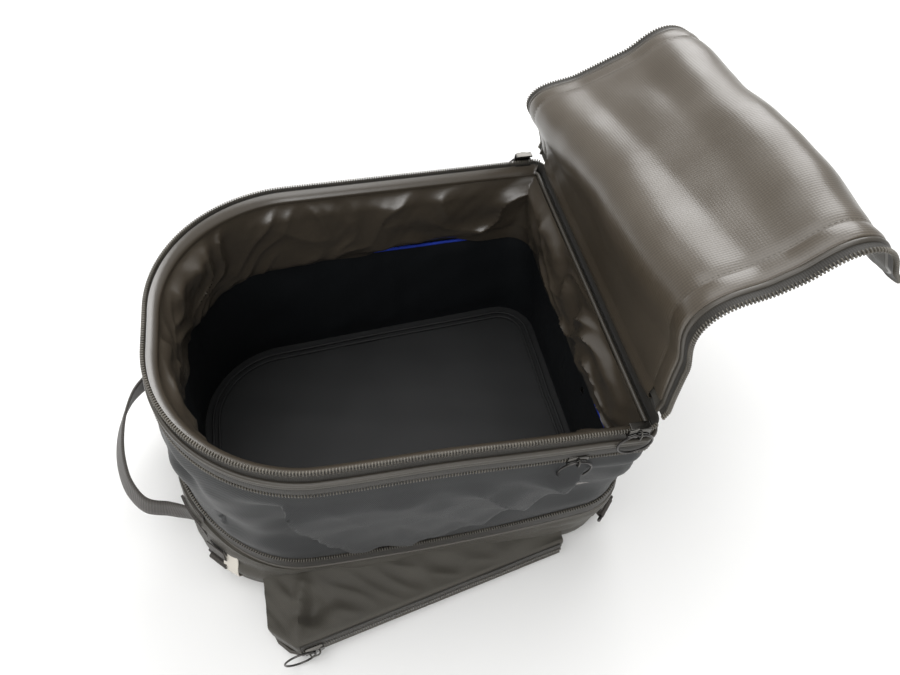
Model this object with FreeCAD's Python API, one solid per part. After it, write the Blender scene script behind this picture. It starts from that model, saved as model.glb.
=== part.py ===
import FreeCAD, Part
import os
from math import cos, radians, sin, tan

# Expandable motorcycle tail bag with its lid thrown open, in millimetres and degrees.
# The origin is the middle of the base panel, on the surface that the bag stands on.
# +Z is up and +X points from the carry handle towards the lid's hinge. The bag is the same on both
# sides of the XZ plane, apart from the near wall (-Y), which slumps, and its open expansion zip.

V = FreeCAD.Vector
X_AXIS = V(1, 0, 0)
Y_AXIS = V(0, 1, 0)
Z_AXIS = V(0, 0, 1)

# An outline is a rounded loop: x of its front and back, half widths there, corner radii there.
BASE = (-178.5, 178.5, 122.0, 132.0, 85.0, 45.0)
WAIST = (-170.0, 173.0, 127.0, 142.0, 105.0, 30.0)
RIM = (-161.5, 174.5, 126.0, 139.0, 112.0, 12.0)
WAIST_Z = 110.0
TAPER_Z = (-10.0, 160.0)

# lower shell and floor
WALL = 2.5
BASE_PANEL = 2.5
BASE_BOARD = 3.0
FLOOR_LINER = 1.0
FLOOR_TOP = BASE_PANEL + BASE_BOARD + FLOOR_LINER
FLOOR_CORD = 3.0
FLOOR_CORD_INSET = 14.0
HIGH_ENOUGH = 130.0

# The expansion zip's lower half: its height at x = 0 falls towards the hinge as the rim does,
# and on the near side it dips where the wall slumps.
TILT = 3.6
SLOPE = tan(radians(TILT))
SEAM_MIDDLE = 98.0
NEAR_DIP = [(-134.0, 78.0), (-89.0, 57.0), (-14.0, 51.0), (66.0, 54.0), (121.0, 68.0)]
TAPE = 10.0
TAPE_THICK = 1.2
COIL_HIGH = 3.0
COIL_WIDE = 4.0
PIPING = 3.0
PIPING_PROUD = 1.5

# stiffener that stands inside the lower shell
STIFFENER = 3.0
STIFFENER_GAP = 4.5
STIFFENER_RISE = 18.0
STIFFENER_SLOPE_END = -100.0
EDGE_HIGH = 2.0
RIVET_RADIUS = 3.0
RIVET_HIGH = 1.5
RIVETS = [(-2.0, 65.0), (-43.0, 90.0)]
NEAR_WALL_DROP = 6.0

# rim band, measured down from the rim's coil
RIM_Z = 205.0
RIM_TAPE_INSET = 5.0
RIM_COIL_WIDE = 4.6
RIM_TAPE_LOW = 12.0
RIM_PIPING_LOW = 15.0
RIM_BAND_LOW = 20.0
RIM_LOWER_TAPE_LOW = 26.0
RIM_COIL_LOW = 29.0
GUSSET = 1.2
GUSSET_INSET = 2.8
LINING = 1.0
LINING_INSET = 9.4
LINING_LOW_INSET = 5.5
TUBE_LOW_Z = 40.0
TUBE_BEND_Z = 122.0
TUBE_STRAIGHT_Z = -35.0
BEHIND_TAPE = 0.3
INNER_LIP = 3.0
HINGE_STRIP = 1.2
HINGE_STRIP_HALF = 120.0
HINGE_STRIP_HIGH = 14.0

# lid, in three sections that fold; x is where each ends when the lid is shut
HINGE_X = 171.5
LID_PIVOT_Z = 5.0
FOLD_X = [82.0, -28.0]
FOLD_GAP = 3.4
LID_GAP = 0.5
LID_COIL_TOP = 3.5
LID_TAPE_TOP = 4.7
LID_LINING_TOP = 4.5
LID_COVER_TOP = 6.5
LID_EDGE = 8.0
HINGE_OPEN = 78.0
FOLD_OPEN = 69.0
LID_POCKET_X = (-150.0, -44.0)
LID_POCKET_HALF = 96.0
LID_POCKET_HIGH = 3.0
LID_ZIP_X = -52.0
LID_POCKET_INSET = 24.0
LID_COIL_WIDE = 5.0
LID_COIL_HIGH = 2.2
LID_NOTCH = 21.0

# sliders and their ring pulls
SLIDER_LONG = 15.0
SLIDER_WALL = 1.5
SLIDER_CLEAR = 0.4
BRIDGE_SPAN = 7.6
BRIDGE_WIRE = 1.2
BRIDGE_RISE = 2.8
RING_RADIUS = 12.0
RING_WIRE = 0.8
MAIN_SLIDER_X = 153.5
EXPANSION_SLIDER_X = 118.0
POCKET_SLIDER_IN = 12.0

# side pockets: their outer edge runs straight from the deep end to where it meets the wall
POCKET_DEEP = (-101.5, -183.0)
POCKET_SHALLOW = (126.5, -146.0)
POCKET_FRONT = -122.0
POCKET_ROOT_Y = -90.0
POCKET_NOSE = 18.0
POCKET_WALL_Z = 34.0
POCKET_EDGE_Z = 26.0
POCKET_TAPE = (5.0, 23.0)
POCKET_COIL = (12.0, 17.0)
POCKET_TAPE_THICK = 1.0
POCKET_COIL_OUT = 3.2

# carry handle
HANDLE_HALF = 66.0
HANDLE_Z = (50.0, 75.0)
HANDLE_REACH = 38.0
HANDLE_OFF = 10.0
WEBBING = 2.2
HANDLE_PATCH = 20.0

# plain reflective patch
PATCH_THICK = 0.8
PATCH_Y = (-48.0, -14.0)
PATCH_Z = (50.0, 78.0)

# tie-down rings at the base corners
TIE_Z = 30.0
TIE_BAR = 24.0
TIE_WIRE = 1.5
TIE_SLEEVE = 3.3
TIE_BORE = 1.9
TIE_OUT = 6.5
TIE_TAB_LONG = 18.0
TIE_TAB_HIGH = 22.0
TIE_SINK = 0.8

# how far past the bag a cutting box reaches
REACH = 400.0


def rounded_loop(corners, radii):
    """Closed wire through the corners, each rounded by an arc that touches both its sides."""
    arcs = []
    for index, corner in enumerate(corners):
        back = (corners[index - 1] - corner).normalize()
        ahead = (corners[(index + 1) % len(corners)] - corner).normalize()
        half = back.getAngle(ahead) / 2
        reach = radii[index] / tan(half)
        bisector = (back + ahead).normalize()
        middle = corner + bisector * (radii[index] / sin(half) - radii[index])
        arcs.append((corner + back * reach, middle, corner + ahead * reach))
    edges = []
    for index, (start, middle, end) in enumerate(arcs):
        edges.append(Part.Arc(start, middle, end).toShape())
        following = arcs[(index + 1) % len(arcs)][0]
        edges.append(Part.LineSegment(end, following).toShape())
    return Part.Wire(edges)


def corners_of(level, inset, z):
    """The four corners of an outline, near front first, going round through the near back."""
    front, back, half_front, half_back = level[:4]
    return [V(front + inset, inset - half_front, z), V(back - inset, inset - half_back, z),
            V(back - inset, half_back - inset, z), V(front + inset, half_front - inset, z)]


def outline(level, inset, z):
    """Wire of an outline, moved inwards by inset."""
    front_radius = level[4] - inset
    back_radius = max(level[5] - inset, 2.0)
    return rounded_loop(corners_of(level, inset, z), [front_radius, back_radius, back_radius, front_radius])


def slab(level, inset, low, high):
    """Plate with one outline from low to high."""
    return Part.Face(outline(level, inset, low)).extrude(V(0, 0, high - low))


def ring(level, inset, thickness, low, high):
    """Upright band of one outline: its outer face at inset, going inwards by thickness."""
    return slab(level, inset, low, high).cut(slab(level, inset + thickness, low - 1, high + 1))


def lower_level(z):
    """The outline of the tapered lower wall at height z."""
    share = z / WAIST_Z
    return tuple(low + (high - low) * share for low, high in zip(BASE, WAIST))


def tapered(inset, low, high):
    """Solid of the lower wall's taper from low to high."""
    wires = [outline(lower_level(z), inset, z) for z in TAPER_Z]
    slice_box = Part.makeBox(2 * REACH, 2 * REACH, high - low, V(-REACH, -REACH, low))
    return Part.makeLoft(wires, True, True).common(slice_box)


def tapered_wall(inset, thickness, low, high):
    """Tapered wall: its outer face at inset, going inwards by thickness."""
    return tapered(inset, low, high).cut(tapered(inset + thickness, low - 1, high + 1))


def seam_z(x):
    """Height of the lower zip's teeth where the wall doesn't slump."""
    return SEAM_MIDDLE - SLOPE * x


def prism_under(path, far_y, deep):
    """Solid under a profile of the XZ plane, from y = far_y over a depth of deep."""
    first = path[0].firstVertex().Point
    last = path[-1].lastVertex().Point
    floor = [V(last.x, 0, -60), V(first.x, 0, -60)]
    sides = [Part.LineSegment(a, b).toShape() for a, b in ((last, floor[0]), tuple(floor), (floor[1], first))]
    face = Part.Face(Part.Wire(path + sides))
    face.translate(V(0, far_y, 0))
    return face.extrude(V(0, deep, 0))


def straight_path(rise):
    """Profile of the seam away from the slump."""
    ends = [V(x, 0, seam_z(x) + rise) for x in (WAIST[0], WAIST[1])]
    outer = [V(-300, 0, ends[0].z), V(300, 0, ends[1].z)]
    points = [outer[0], ends[0], ends[1], outer[1]]
    return [Part.LineSegment(a, b).toShape() for a, b in zip(points, points[1:])]


def dipped_path(rise):
    """Profile of the seam on the near side, where the wall slumps."""
    outer_run, _, other_run = straight_path(rise)
    start = outer_run.lastVertex().Point
    end = other_run.firstVertex().Point
    curve = Part.BSplineCurve()
    curve.interpolate([start] + [V(x, 0, z + rise) for x, z in NEAR_DIP] + [end])
    return [outer_run, curve.toShape(), other_run]


def under_seam(rise):
    """Everything lower than the seam plus rise, on both sides."""
    near = prism_under(dipped_path(rise), -300, 300)
    far = prism_under(straight_path(rise), 0, 300)
    return near.fuse(far)


def seam_band(low, high, proud, thickness):
    """Part of the lower wall between two heights measured from the seam."""
    wall = tapered_wall(-proud, thickness, FLOOR_TOP, HIGH_ENOUGH)
    return wall.common(under_seam(high)).cut(under_seam(low))


def in_rim_frame(shape):
    """Carry a shape from the rim's own level frame to its place on the bag."""
    placed = shape.copy()
    placed.rotate(V(0, 0, 0), Y_AXIS, TILT)
    placed.translate(V(0, 0, RIM_Z))
    return placed


def fold_pivots():
    """The lid's hinge and folds, on the shut lid in the rim's frame."""
    return [V(x, 0, LID_PIVOT_Z) for x in [HINGE_X] + FOLD_X]


def lid_section_at_rest(shape, section):
    """Carry a piece of the shut lid to where it is with the lid thrown open."""
    placed = shape.copy()
    turns = [HINGE_OPEN, FOLD_OPEN, FOLD_OPEN]
    for index in range(section, -1, -1):
        placed.rotate(fold_pivots()[index], Y_AXIS, turns[index])
    return in_rim_frame(placed)


def wire_ring(centre, normal, radius, wire):
    """Round ring of wire."""
    return Part.makeTorus(radius, wire, centre, normal)


def framed(shape, origin, along, outward):
    """Place a shape drawn with X along a zip and Y outwards, Z crosswise."""
    along = V(along).normalize()
    outward = V(outward).normalize()
    across = along.cross(outward)
    matrix = FreeCAD.Matrix(along.x, outward.x, across.x, origin.x,
                            along.y, outward.y, across.y, origin.y,
                            along.z, outward.z, across.z, origin.z,
                            0, 0, 0, 1)
    placed = shape.copy()
    placed.transformShape(matrix)
    return placed


def slider(inner, outer, low, high, bar_across):
    """Zip slider in its own frame: a channel, open inwards, round coils that fill
    inner..outer and low..high, with a bridge of wire on its outer plate."""
    half = SLIDER_LONG / 2
    plate_y = outer + SLIDER_CLEAR
    bottom = low - SLIDER_CLEAR - SLIDER_WALL
    top = high + SLIDER_CLEAR
    tall = top + SLIDER_WALL - bottom
    deep = plate_y - inner - SLIDER_CLEAR
    body = Part.makeBox(SLIDER_LONG, SLIDER_WALL, tall, V(-half, plate_y, bottom))
    for z in (bottom, top):
        flange = Part.makeBox(SLIDER_LONG, deep, SLIDER_WALL, V(-half, inner + SLIDER_CLEAR, z))
        body = body.fuse(flange)
    eye = ring_eye(outer, low, high)
    foot_y = plate_y + SLIDER_WALL - 0.2
    span = Z_AXIS if bar_across else X_AXIS
    for side in (-1, 1):
        foot = V(0, foot_y, eye.z) + span * (side * BRIDGE_SPAN / 2)
        body = body.fuse(Part.makeCylinder(BRIDGE_WIRE / 2, BRIDGE_RISE, foot, Y_AXIS))
    start = V(0, foot_y + BRIDGE_RISE, eye.z) - span * (BRIDGE_SPAN / 2)
    body = body.fuse(Part.makeCylinder(BRIDGE_WIRE / 2, BRIDGE_SPAN, start, span))
    for side in (-1, 1):
        knee = V(0, foot_y + BRIDGE_RISE, eye.z) + span * (side * BRIDGE_SPAN / 2)
        body = body.fuse(Part.makeSphere(BRIDGE_WIRE / 2, knee))
    return body


def ring_eye(outer, low, high):
    """Where a ring's wire passes through the slider's bridge, in the slider's frame."""
    face_y = outer + SLIDER_CLEAR + SLIDER_WALL
    return V(0, face_y + RING_WIRE + 0.3, (low + high) / 2)


def near_side():
    """Direction of the rim's near side towards the front, and its outward normal."""
    run = V(RIM[0] - RIM[1], RIM[3] - RIM[2], 0).normalize()
    return run, V(run.y, -run.x, 0).normalize() * -1


def rim_side_point(x, z):
    """Point of the rim's near side at x."""
    share = (x - RIM[0]) / (RIM[1] - RIM[0])
    return V(x, -RIM[2] - (RIM[3] - RIM[2]) * share, z)


def flip(vector):
    """The same vector on the far side."""
    return V(vector.x, -vector.y, vector.z)


def sliders():
    """Each slider: the room for its coils, its place and its frame on its body, whether its bridge
    lies across the zip, which way its ring lies from the bridge, and which way it travels."""
    run, normal = near_side()
    main_room = (-RIM_COIL_WIDE, 0.0, -COIL_HIGH, LID_TAPE_TOP)
    main_at = rim_side_point(MAIN_SLIDER_X, 0)
    lower_room = (-RIM_COIL_WIDE, 0.0, -2 * COIL_HIGH - SLIDER_CLEAR, SLIDER_CLEAR)
    lower_at = rim_side_point(EXPANSION_SLIDER_X, -RIM_LOWER_TAPE_LOW)
    pocket_run = V(POCKET_DEEP[0] - POCKET_SHALLOW[0], POCKET_DEEP[1] - POCKET_SHALLOW[1], 0).normalize()
    pocket_normal = V(-pocket_run.y, pocket_run.x, 0)
    pocket_room = (POCKET_TAPE_THICK, POCKET_COIL_OUT, POCKET_COIL[0], POCKET_COIL[1])
    pocket_at = V(POCKET_DEEP[0], POCKET_DEEP[1], 0) - pocket_run * POCKET_SLIDER_IN
    lid_room = (0.0, LID_COIL_HIGH, -LID_COIL_WIDE / 2, LID_COIL_WIDE / 2)
    lid_at = V(LID_ZIP_X, -LID_POCKET_HALF + SLIDER_LONG / 2, LID_COVER_TOP)
    lean = radians(HINGE_OPEN + 2 * FOLD_OPEN + TILT - 180)
    plumb = V(0, cos(lean), sin(lean))
    down = Z_AXIS * -1
    return {
        "main_slider_near": (main_room, main_at, run, normal, "rim", True, down, 1),
        "main_slider_far": (main_room, flip(main_at), flip(run) * -1, flip(normal), "rim", True, down, -1),
        "expansion_slider": (lower_room, lower_at, run, normal, "rim", True, down, 1),
        "pocket_slider_near": (pocket_room, pocket_at, pocket_run, pocket_normal, "bag", False, X_AXIS, -1),
        "pocket_slider_far": (pocket_room, flip(pocket_at), flip(pocket_run) * -1, flip(pocket_normal),
                              "bag", False, X_AXIS * -1, 1),
        "lid_slider": (lid_room, lid_at, Y_AXIS, Z_AXIS, "lid_c", True, plumb, 1),
    }


def place_on(body, shape):
    """Carry a shape from its body's own frame to the bag's."""
    if body == "rim":
        return in_rim_frame(shape)
    if body == "lid_c":
        return lid_section_at_rest(shape, 2)
    return shape


def zip_hardware():
    """Every slider and ring. Rings hang down, apart from those that lie along the pocket zips."""
    parts = {}
    for name, (room, origin, along, outward, body, bar_across, hang, _) in sliders().items():
        parts[name] = place_on(body, framed(slider(*room, bar_across), origin, along, outward))
        eye = ring_eye(room[1], room[2], room[3])
        hinge = X_AXIS if bar_across else Z_AXIS
        loop = wire_ring(eye + hang * RING_RADIUS, hinge.cross(hang), RING_RADIUS, RING_WIRE)
        ring_name = name.replace("slider", "ring")
        parts[ring_name] = place_on(body, framed(loop, origin, along, outward))
    return parts


def floor_parts():
    """Base panel, stiffening board, floor lining and the cord round the floor."""
    low_liner = BASE_PANEL + BASE_BOARD
    return {
        "base_panel": slab(BASE, 0, 0, BASE_PANEL),
        "base_board": slab(BASE, WALL + 1, BASE_PANEL, low_liner),
        "floor_lining": slab(BASE, WALL + 1, low_liner, FLOOR_TOP),
        "floor_piping": ring(BASE, FLOOR_CORD_INSET, FLOOR_CORD, FLOOR_TOP, FLOOR_TOP + FLOOR_CORD),
    }


def shell_parts():
    """Lower wall, its piping and the lower half of the expansion zip."""
    tape_low = -COIL_HIGH - TAPE
    shell_top = tape_low - PIPING
    shell = tapered_wall(0, WALL, BASE_PANEL, HIGH_ENOUGH).common(under_seam(shell_top))
    return {
        "lower_shell": shell,
        "shell_piping": seam_band(shell_top, tape_low, PIPING_PROUD, WALL + PIPING_PROUD),
        "lower_zip_tape": seam_band(tape_low, -COIL_HIGH, 0, TAPE_THICK),
        "lower_zip_coil": seam_band(-COIL_HIGH, 0, 1.0, COIL_WIDE),
    }


def stiffener_parts():
    """Stiff lining wall that stands in the lower shell, its coloured core's edge and its rivets."""
    rest = FLOOR_TOP + 0.2
    wall = tapered_wall(STIFFENER_GAP, STIFFENER, rest, TAPER_Z[1] - 10)
    near = prism_under(dipped_path(-NEAR_WALL_DROP), -REACH, REACH + STIFFENER_SLOPE_END)
    far = prism_under(straight_path(STIFFENER_RISE), STIFFENER_SLOPE_END, REACH)
    tall = prism_under(straight_path(STIFFENER_RISE + EDGE_HIGH), STIFFENER_SLOPE_END, REACH)
    rivets = []
    for y, z in RIVETS:
        inner_x = lower_level(z)[1] - STIFFENER_GAP - STIFFENER
        rivet = Part.makeCylinder(RIVET_RADIUS, RIVET_HIGH + 1, V(inner_x + 1, y, z), V(-1, 0, 0))
        rivets.append(rivet.cut(wall))
    return {
        "stiffener": wall.common(near.fuse(far)),
        "stiffener_core_edge": wall.common(tall).cut(far).cut(gusset()),
        "stiffener_rivets": Part.makeCompound(rivets),
    }


def rim_parts():
    """The upper band: both its zips' halves, piping, lining and the lid's hinge strip."""
    coil = ring(RIM, 0, RIM_COIL_WIDE, -COIL_HIGH, 0)
    hinge_side = Part.makeBox(REACH, 2 * REACH, REACH, V(RIM[1] - LID_EDGE, -REACH, -REACH / 2))
    tape = ring(RIM, RIM_TAPE_INSET, TAPE_THICK, -RIM_TAPE_LOW, -0.2)
    ledge = RIM_TAPE_INSET + TAPE_THICK
    shapes = {
        "main_zip_coil": coil.cut(hinge_side),
        "main_zip_tape": tape,
        "rim_piping": ring(RIM, -PIPING_PROUD, ledge + PIPING_PROUD, -RIM_PIPING_LOW, -RIM_TAPE_LOW),
        "rim_band": ring(RIM, 0, WALL, -RIM_BAND_LOW, -RIM_PIPING_LOW),
        "upper_zip_tape": ring(RIM, RIM_TAPE_INSET, TAPE_THICK, -RIM_LOWER_TAPE_LOW, -RIM_PIPING_LOW),
        "upper_zip_coil": ring(RIM, 0, RIM_COIL_WIDE, -RIM_COIL_LOW, -RIM_LOWER_TAPE_LOW),
        "inner_lip": ring(RIM, ledge, INNER_LIP, -RIM_TAPE_LOW, -RIM_TAPE_LOW + PIPING),
        "hinge_strip": Part.makeBox(HINGE_STRIP, 2 * HINGE_STRIP_HALF, HINGE_STRIP_HIGH,
                                    V(RIM[1] - HINGE_STRIP - BEHIND_TAPE, -HINGE_STRIP_HALF, -RIM_TAPE_LOW)),
    }
    return {name: in_rim_frame(shape) for name, shape in shapes.items()}


def soft_tube(low_inset, high_inset, thickness, top):
    """Thin tube from the lower wall's taper up to the rim, where it ends at top in the rim's frame."""
    def solid(extra, rise):
        wires = [outline(lower_level(z), low_inset + extra, z) for z in (TUBE_LOW_Z - rise, TUBE_BEND_Z)]
        wires += [in_rim_frame(outline(RIM, high_inset + extra, z)) for z in (TUBE_STRAIGHT_Z, top + rise)]
        return Part.makeLoft(wires, True, True)
    return solid(0, 0).cut(solid(thickness, 1))


def gusset():
    """Folded fabric between the two halves of the expansion zip."""
    behind_tape = RIM_TAPE_INSET + TAPE_THICK + BEHIND_TAPE
    return soft_tube(GUSSET_INSET, behind_tape, GUSSET, -RIM_PIPING_LOW - 1).cut(under_seam(0.5))


def upper_lining():
    """Lining from the rim's inner lip down to the top of the stiffener."""
    stands_on = prism_under(straight_path(STIFFENER_RISE + EDGE_HIGH + 1), -REACH, 2 * REACH)
    tube = soft_tube(LINING_LOW_INSET, LINING_INSET, LINING, -RIM_TAPE_LOW - 0.2)
    return tube.cut(stands_on)


def lid_span(section):
    """x range of a lid section, with half the fold's gap left free at each fold."""
    ends = [HINGE_X - 1.0] + FOLD_X + [RIM[0] - 20]
    back = ends[section] - (FOLD_GAP / 2 if section else 0)
    front = ends[section + 1] + (FOLD_GAP / 2 if section < 2 else 0)
    return front, back


def slider_notch():
    """Room in the lid's zip for the main sliders, which the lid shuts over."""
    half = -rim_side_point(MAIN_SLIDER_X, 0).y - RIM_COIL_WIDE - 2 * SLIDER_CLEAR
    corner = V(MAIN_SLIDER_X - LID_NOTCH / 2, half, -LID_COVER_TOP)
    box = Part.makeBox(LID_NOTCH, REACH, 2 * LID_COVER_TOP, corner)
    return box.fuse(mirror(box))


def lid_parts():
    """Lid sections: lining inside, cover outside, and the zip's upper half round the edge."""
    coil = ring(RIM, 0, RIM_COIL_WIDE, LID_GAP, LID_COIL_TOP)
    tape = ring(RIM, 0, LID_EDGE, LID_COIL_TOP, LID_TAPE_TOP)
    half_zip = coil.fuse(tape).cut(slider_notch())
    lining = slab(RIM, LID_EDGE, LID_COIL_TOP, LID_LINING_TOP)
    cover = slab(RIM, LID_EDGE, LID_LINING_TOP, LID_COVER_TOP)
    shapes = {"lid_zip": half_zip, "lid_lining": lining, "lid_cover": cover}
    parts = {}
    for section, letter in enumerate("abc"):
        front, back = lid_span(section)
        window = Part.makeBox(back - front, 2 * REACH, REACH, V(front, -REACH, -REACH / 2))
        for name, shape in shapes.items():
            cut = shape.common(window)
            parts[name + "_" + letter] = lid_section_at_rest(cut, section)
    return parts


def lid_pocket_parts():
    """Flat pocket on the lid's outer face, and its zip."""
    front, back = LID_POCKET_X
    zip_back = LID_ZIP_X - 6
    block = Part.makeBox(zip_back - front, 2 * REACH, LID_POCKET_HIGH, V(front, -REACH, LID_COVER_TOP))
    pouch = slab(RIM, LID_POCKET_INSET, LID_COVER_TOP, LID_COVER_TOP + LID_POCKET_HIGH).common(block)
    coil = Part.makeBox(LID_COIL_WIDE, 2 * LID_POCKET_HALF, LID_COIL_HIGH,
                        V(LID_ZIP_X - LID_COIL_WIDE / 2, -LID_POCKET_HALF, LID_COVER_TOP))
    return {"lid_pocket": lid_section_at_rest(pouch, 2), "lid_pocket_coil": lid_section_at_rest(coil, 2)}


def mirror(shape):
    """The same piece on the far side."""
    return shape.mirror(V(0, 0, 0), Y_AXIS)


def pocket_plan(outward):
    """Plan wire of the near pocket, its outer edge moved outwards."""
    deep = V(POCKET_DEEP[0], POCKET_DEEP[1], 0)
    shallow = V(POCKET_SHALLOW[0], POCKET_SHALLOW[1], 0)
    run = (shallow - deep).normalize()
    push = V(run.y, -run.x, 0) * outward
    nose = V(POCKET_FRONT - outward, POCKET_DEEP[1] + POCKET_NOSE, 0)
    points = [V(POCKET_FRONT - outward, POCKET_ROOT_Y, 0), nose, deep + push, shallow + push,
              V(shallow.x, POCKET_ROOT_Y, 0)]
    return Part.makePolygon(points + [points[0]])


def pocket_layer(inner, outer, low, high):
    """Strip along the pocket's outer edge, between two distances outwards from it."""
    strip = Part.Face(pocket_plan(outer)).extrude(V(0, 0, high - low))
    core = Part.Face(pocket_plan(inner)).extrude(V(0, 0, high - low))
    return strip.cut(core).translated(V(0, 0, low))


def pocket_parts():
    """Near pocket: a soft wedge against the wall, its shut zip and the piping under it."""
    block = Part.Face(pocket_plan(0)).extrude(V(0, 0, POCKET_WALL_Z))
    wall_y = -WAIST[2]
    lean = [V(-200, wall_y, POCKET_WALL_Z), V(-200, POCKET_DEEP[1] - 20, POCKET_EDGE_Z - 3),
            V(-200, POCKET_DEEP[1] - 20, POCKET_WALL_Z + 20), V(-200, wall_y, POCKET_WALL_Z + 20)]
    over = Part.Face(Part.makePolygon(lean + [lean[0]])).extrude(V(400, 0, 0))
    keep_out = tapered(0, -1, HIGH_ENOUGH).fuse(slab(BASE, 0, -1, BASE_PANEL))
    wedge = block.cut(over).cut(keep_out)
    run_box = Part.makeBox(POCKET_SHALLOW[0] - POCKET_DEEP[0] - 6, 200, 60,
                           V(POCKET_DEEP[0] + 2, POCKET_DEEP[1] - 20, 0))
    outer_edge = Part.makeBox(POCKET_SHALLOW[0] - POCKET_FRONT, 200, 60,
                              V(POCKET_FRONT - 4, POCKET_DEEP[1] - 20, 0)).cut(keep_out)
    tape = pocket_layer(0, POCKET_TAPE_THICK, *POCKET_TAPE).common(run_box)
    coil = pocket_layer(POCKET_TAPE_THICK, POCKET_COIL_OUT, *POCKET_COIL).common(run_box)
    return {
        "pocket_near": wedge,
        "pocket_zip_near": tape.fuse(coil),
        "pocket_piping_near": pocket_layer(0, PIPING, 0, PIPING).common(outer_edge),
    }


def handle_pivot():
    """Middle of the line that the carry handle swings about."""
    return V(lower_level(HANDLE_Z[0])[0] - HANDLE_OFF, 0, sum(HANDLE_Z) / 2)


def handle_parts():
    """Webbing carry handle across the front end, and the two patches that hold it."""
    low, high = HANDLE_Z
    tall = high - low
    root_x = handle_pivot().x
    inner_half = HANDLE_HALF - WEBBING
    tip_x = root_x - HANDLE_REACH
    bow = [(V(root_x, -HANDLE_HALF, low), V(tip_x - WEBBING, 0, low), V(root_x, HANDLE_HALF, low)),
           (V(root_x, inner_half, low), V(tip_x, 0, low), V(root_x, -inner_half, low))]
    outer, inner = [Part.Arc(*points).toShape() for points in bow]
    ends = [Part.LineSegment(V(root_x, side * HANDLE_HALF, low), V(root_x, side * inner_half, low)).toShape()
            for side in (1, -1)]
    strap = Part.Face(Part.Wire([outer, ends[0], inner, ends[1]])).extrude(V(0, 0, tall))
    skin = tapered_wall(-WEBBING, WEBBING, low, high)
    patches = []
    for side in (-1, 1):
        middle = side * (HANDLE_HALF + HANDLE_PATCH / 2)
        box = Part.makeBox(REACH, HANDLE_PATCH, tall, V(-REACH, middle - HANDLE_PATCH / 2, low))
        patches.append(skin.common(box))
    return {"carry_handle": strap, "handle_patches": Part.makeCompound(patches)}


def label_part():
    """Plain reflective patch on the front of the near corner."""
    skin = tapered_wall(-PATCH_THICK, PATCH_THICK, *PATCH_Z)
    window = Part.makeBox(REACH, PATCH_Y[1] - PATCH_Y[0], REACH, V(-REACH, PATCH_Y[0], 0))
    return {"reflective_patch": skin.common(window)}


def tie_places():
    """Where each tie-down ring hangs: a point on the wall at each base corner, and its normal."""
    level = lower_level(TIE_Z)
    places = []
    for corner, radius, sign in zip(corners_of(level, 0, TIE_Z), [level[4], level[5], level[5], level[4]],
                                    ((-1, -1), (1, -1), (1, 1), (-1, 1))):
        normal = V(sign[0], sign[1], 0).normalize()
        centre = corner - V(sign[0], sign[1], 0) * radius
        places.append((centre + normal * radius, normal))
    return places


def tie_parts():
    """Webbing tab with a sleeve at each base corner, and the ring that its sleeve carries."""
    tabs = []
    parts = {}
    for index, (point, normal) in enumerate(tie_places()):
        along = normal.cross(Z_AXIS)
        out = TIE_OUT
        start = -TIE_TAB_LONG / 2
        sleeve = Part.makeCylinder(TIE_SLEEVE, TIE_TAB_LONG, V(start, out, 0), X_AXIS)
        tab = Part.makeBox(TIE_TAB_LONG, WEBBING, TIE_TAB_HIGH, V(start, out - WEBBING / 2, 0))
        root = Part.makeBox(TIE_TAB_LONG, out + WEBBING / 2 + TIE_SINK, WEBBING,
                            V(start, -TIE_SINK, TIE_TAB_HIGH - WEBBING))
        bore = Part.makeCylinder(TIE_BORE, TIE_BAR, V(-TIE_BAR / 2, out, 0), X_AXIS)
        shape = sleeve.fuse(tab).fuse(root).cut(bore)
        placed = framed(shape, point, along, normal)
        tabs.append(placed.cut(tapered(-0.05, 2, HIGH_ENOUGH)))
        bar = Part.makeCylinder(TIE_WIRE, TIE_BAR, V(-TIE_BAR / 2, out, 0), X_AXIS)
        bow = wire_ring(V(0, out, 0), Y_AXIS, TIE_BAR / 2, TIE_WIRE)
        lower_half = Part.makeBox(60, 20, 30, V(-30, out - 10, -30))
        loop = bar.fuse(bow.common(lower_half))
        for side in (-1, 1):
            loop = loop.fuse(Part.makeSphere(TIE_WIRE, V(side * TIE_BAR / 2, out, 0)))
        parts["tie_ring_%d" % (index + 1)] = framed(loop, point, along, normal)
    parts["tie_tabs"] = Part.makeCompound(tabs)
    return parts


def all_parts():
    """Every node of the bag by name."""
    parts = {}
    for group in (floor_parts, shell_parts, stiffener_parts, rim_parts, lid_parts, lid_pocket_parts,
                  handle_parts, label_part, tie_parts, zip_hardware):
        parts.update(group())
    parts["expansion_gusset"] = gusset()
    parts["upper_lining"] = upper_lining()
    near = pocket_parts()
    parts.update(near)
    for name, shape in near.items():
        parts[name.replace("near", "far")] = mirror(shape)
    return parts


PARTS = all_parts()
os.makedirs("parts", exist_ok=True)
for node, node_shape in PARTS.items():
    node_shape.exportStep("parts/" + node + ".step")
print(len(PARTS), "nodes")
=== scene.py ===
from math import cos, pi, radians, sin, tan

import bmesh
import bpy
import numpy as np
from mathutils import Matrix, Vector


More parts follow.
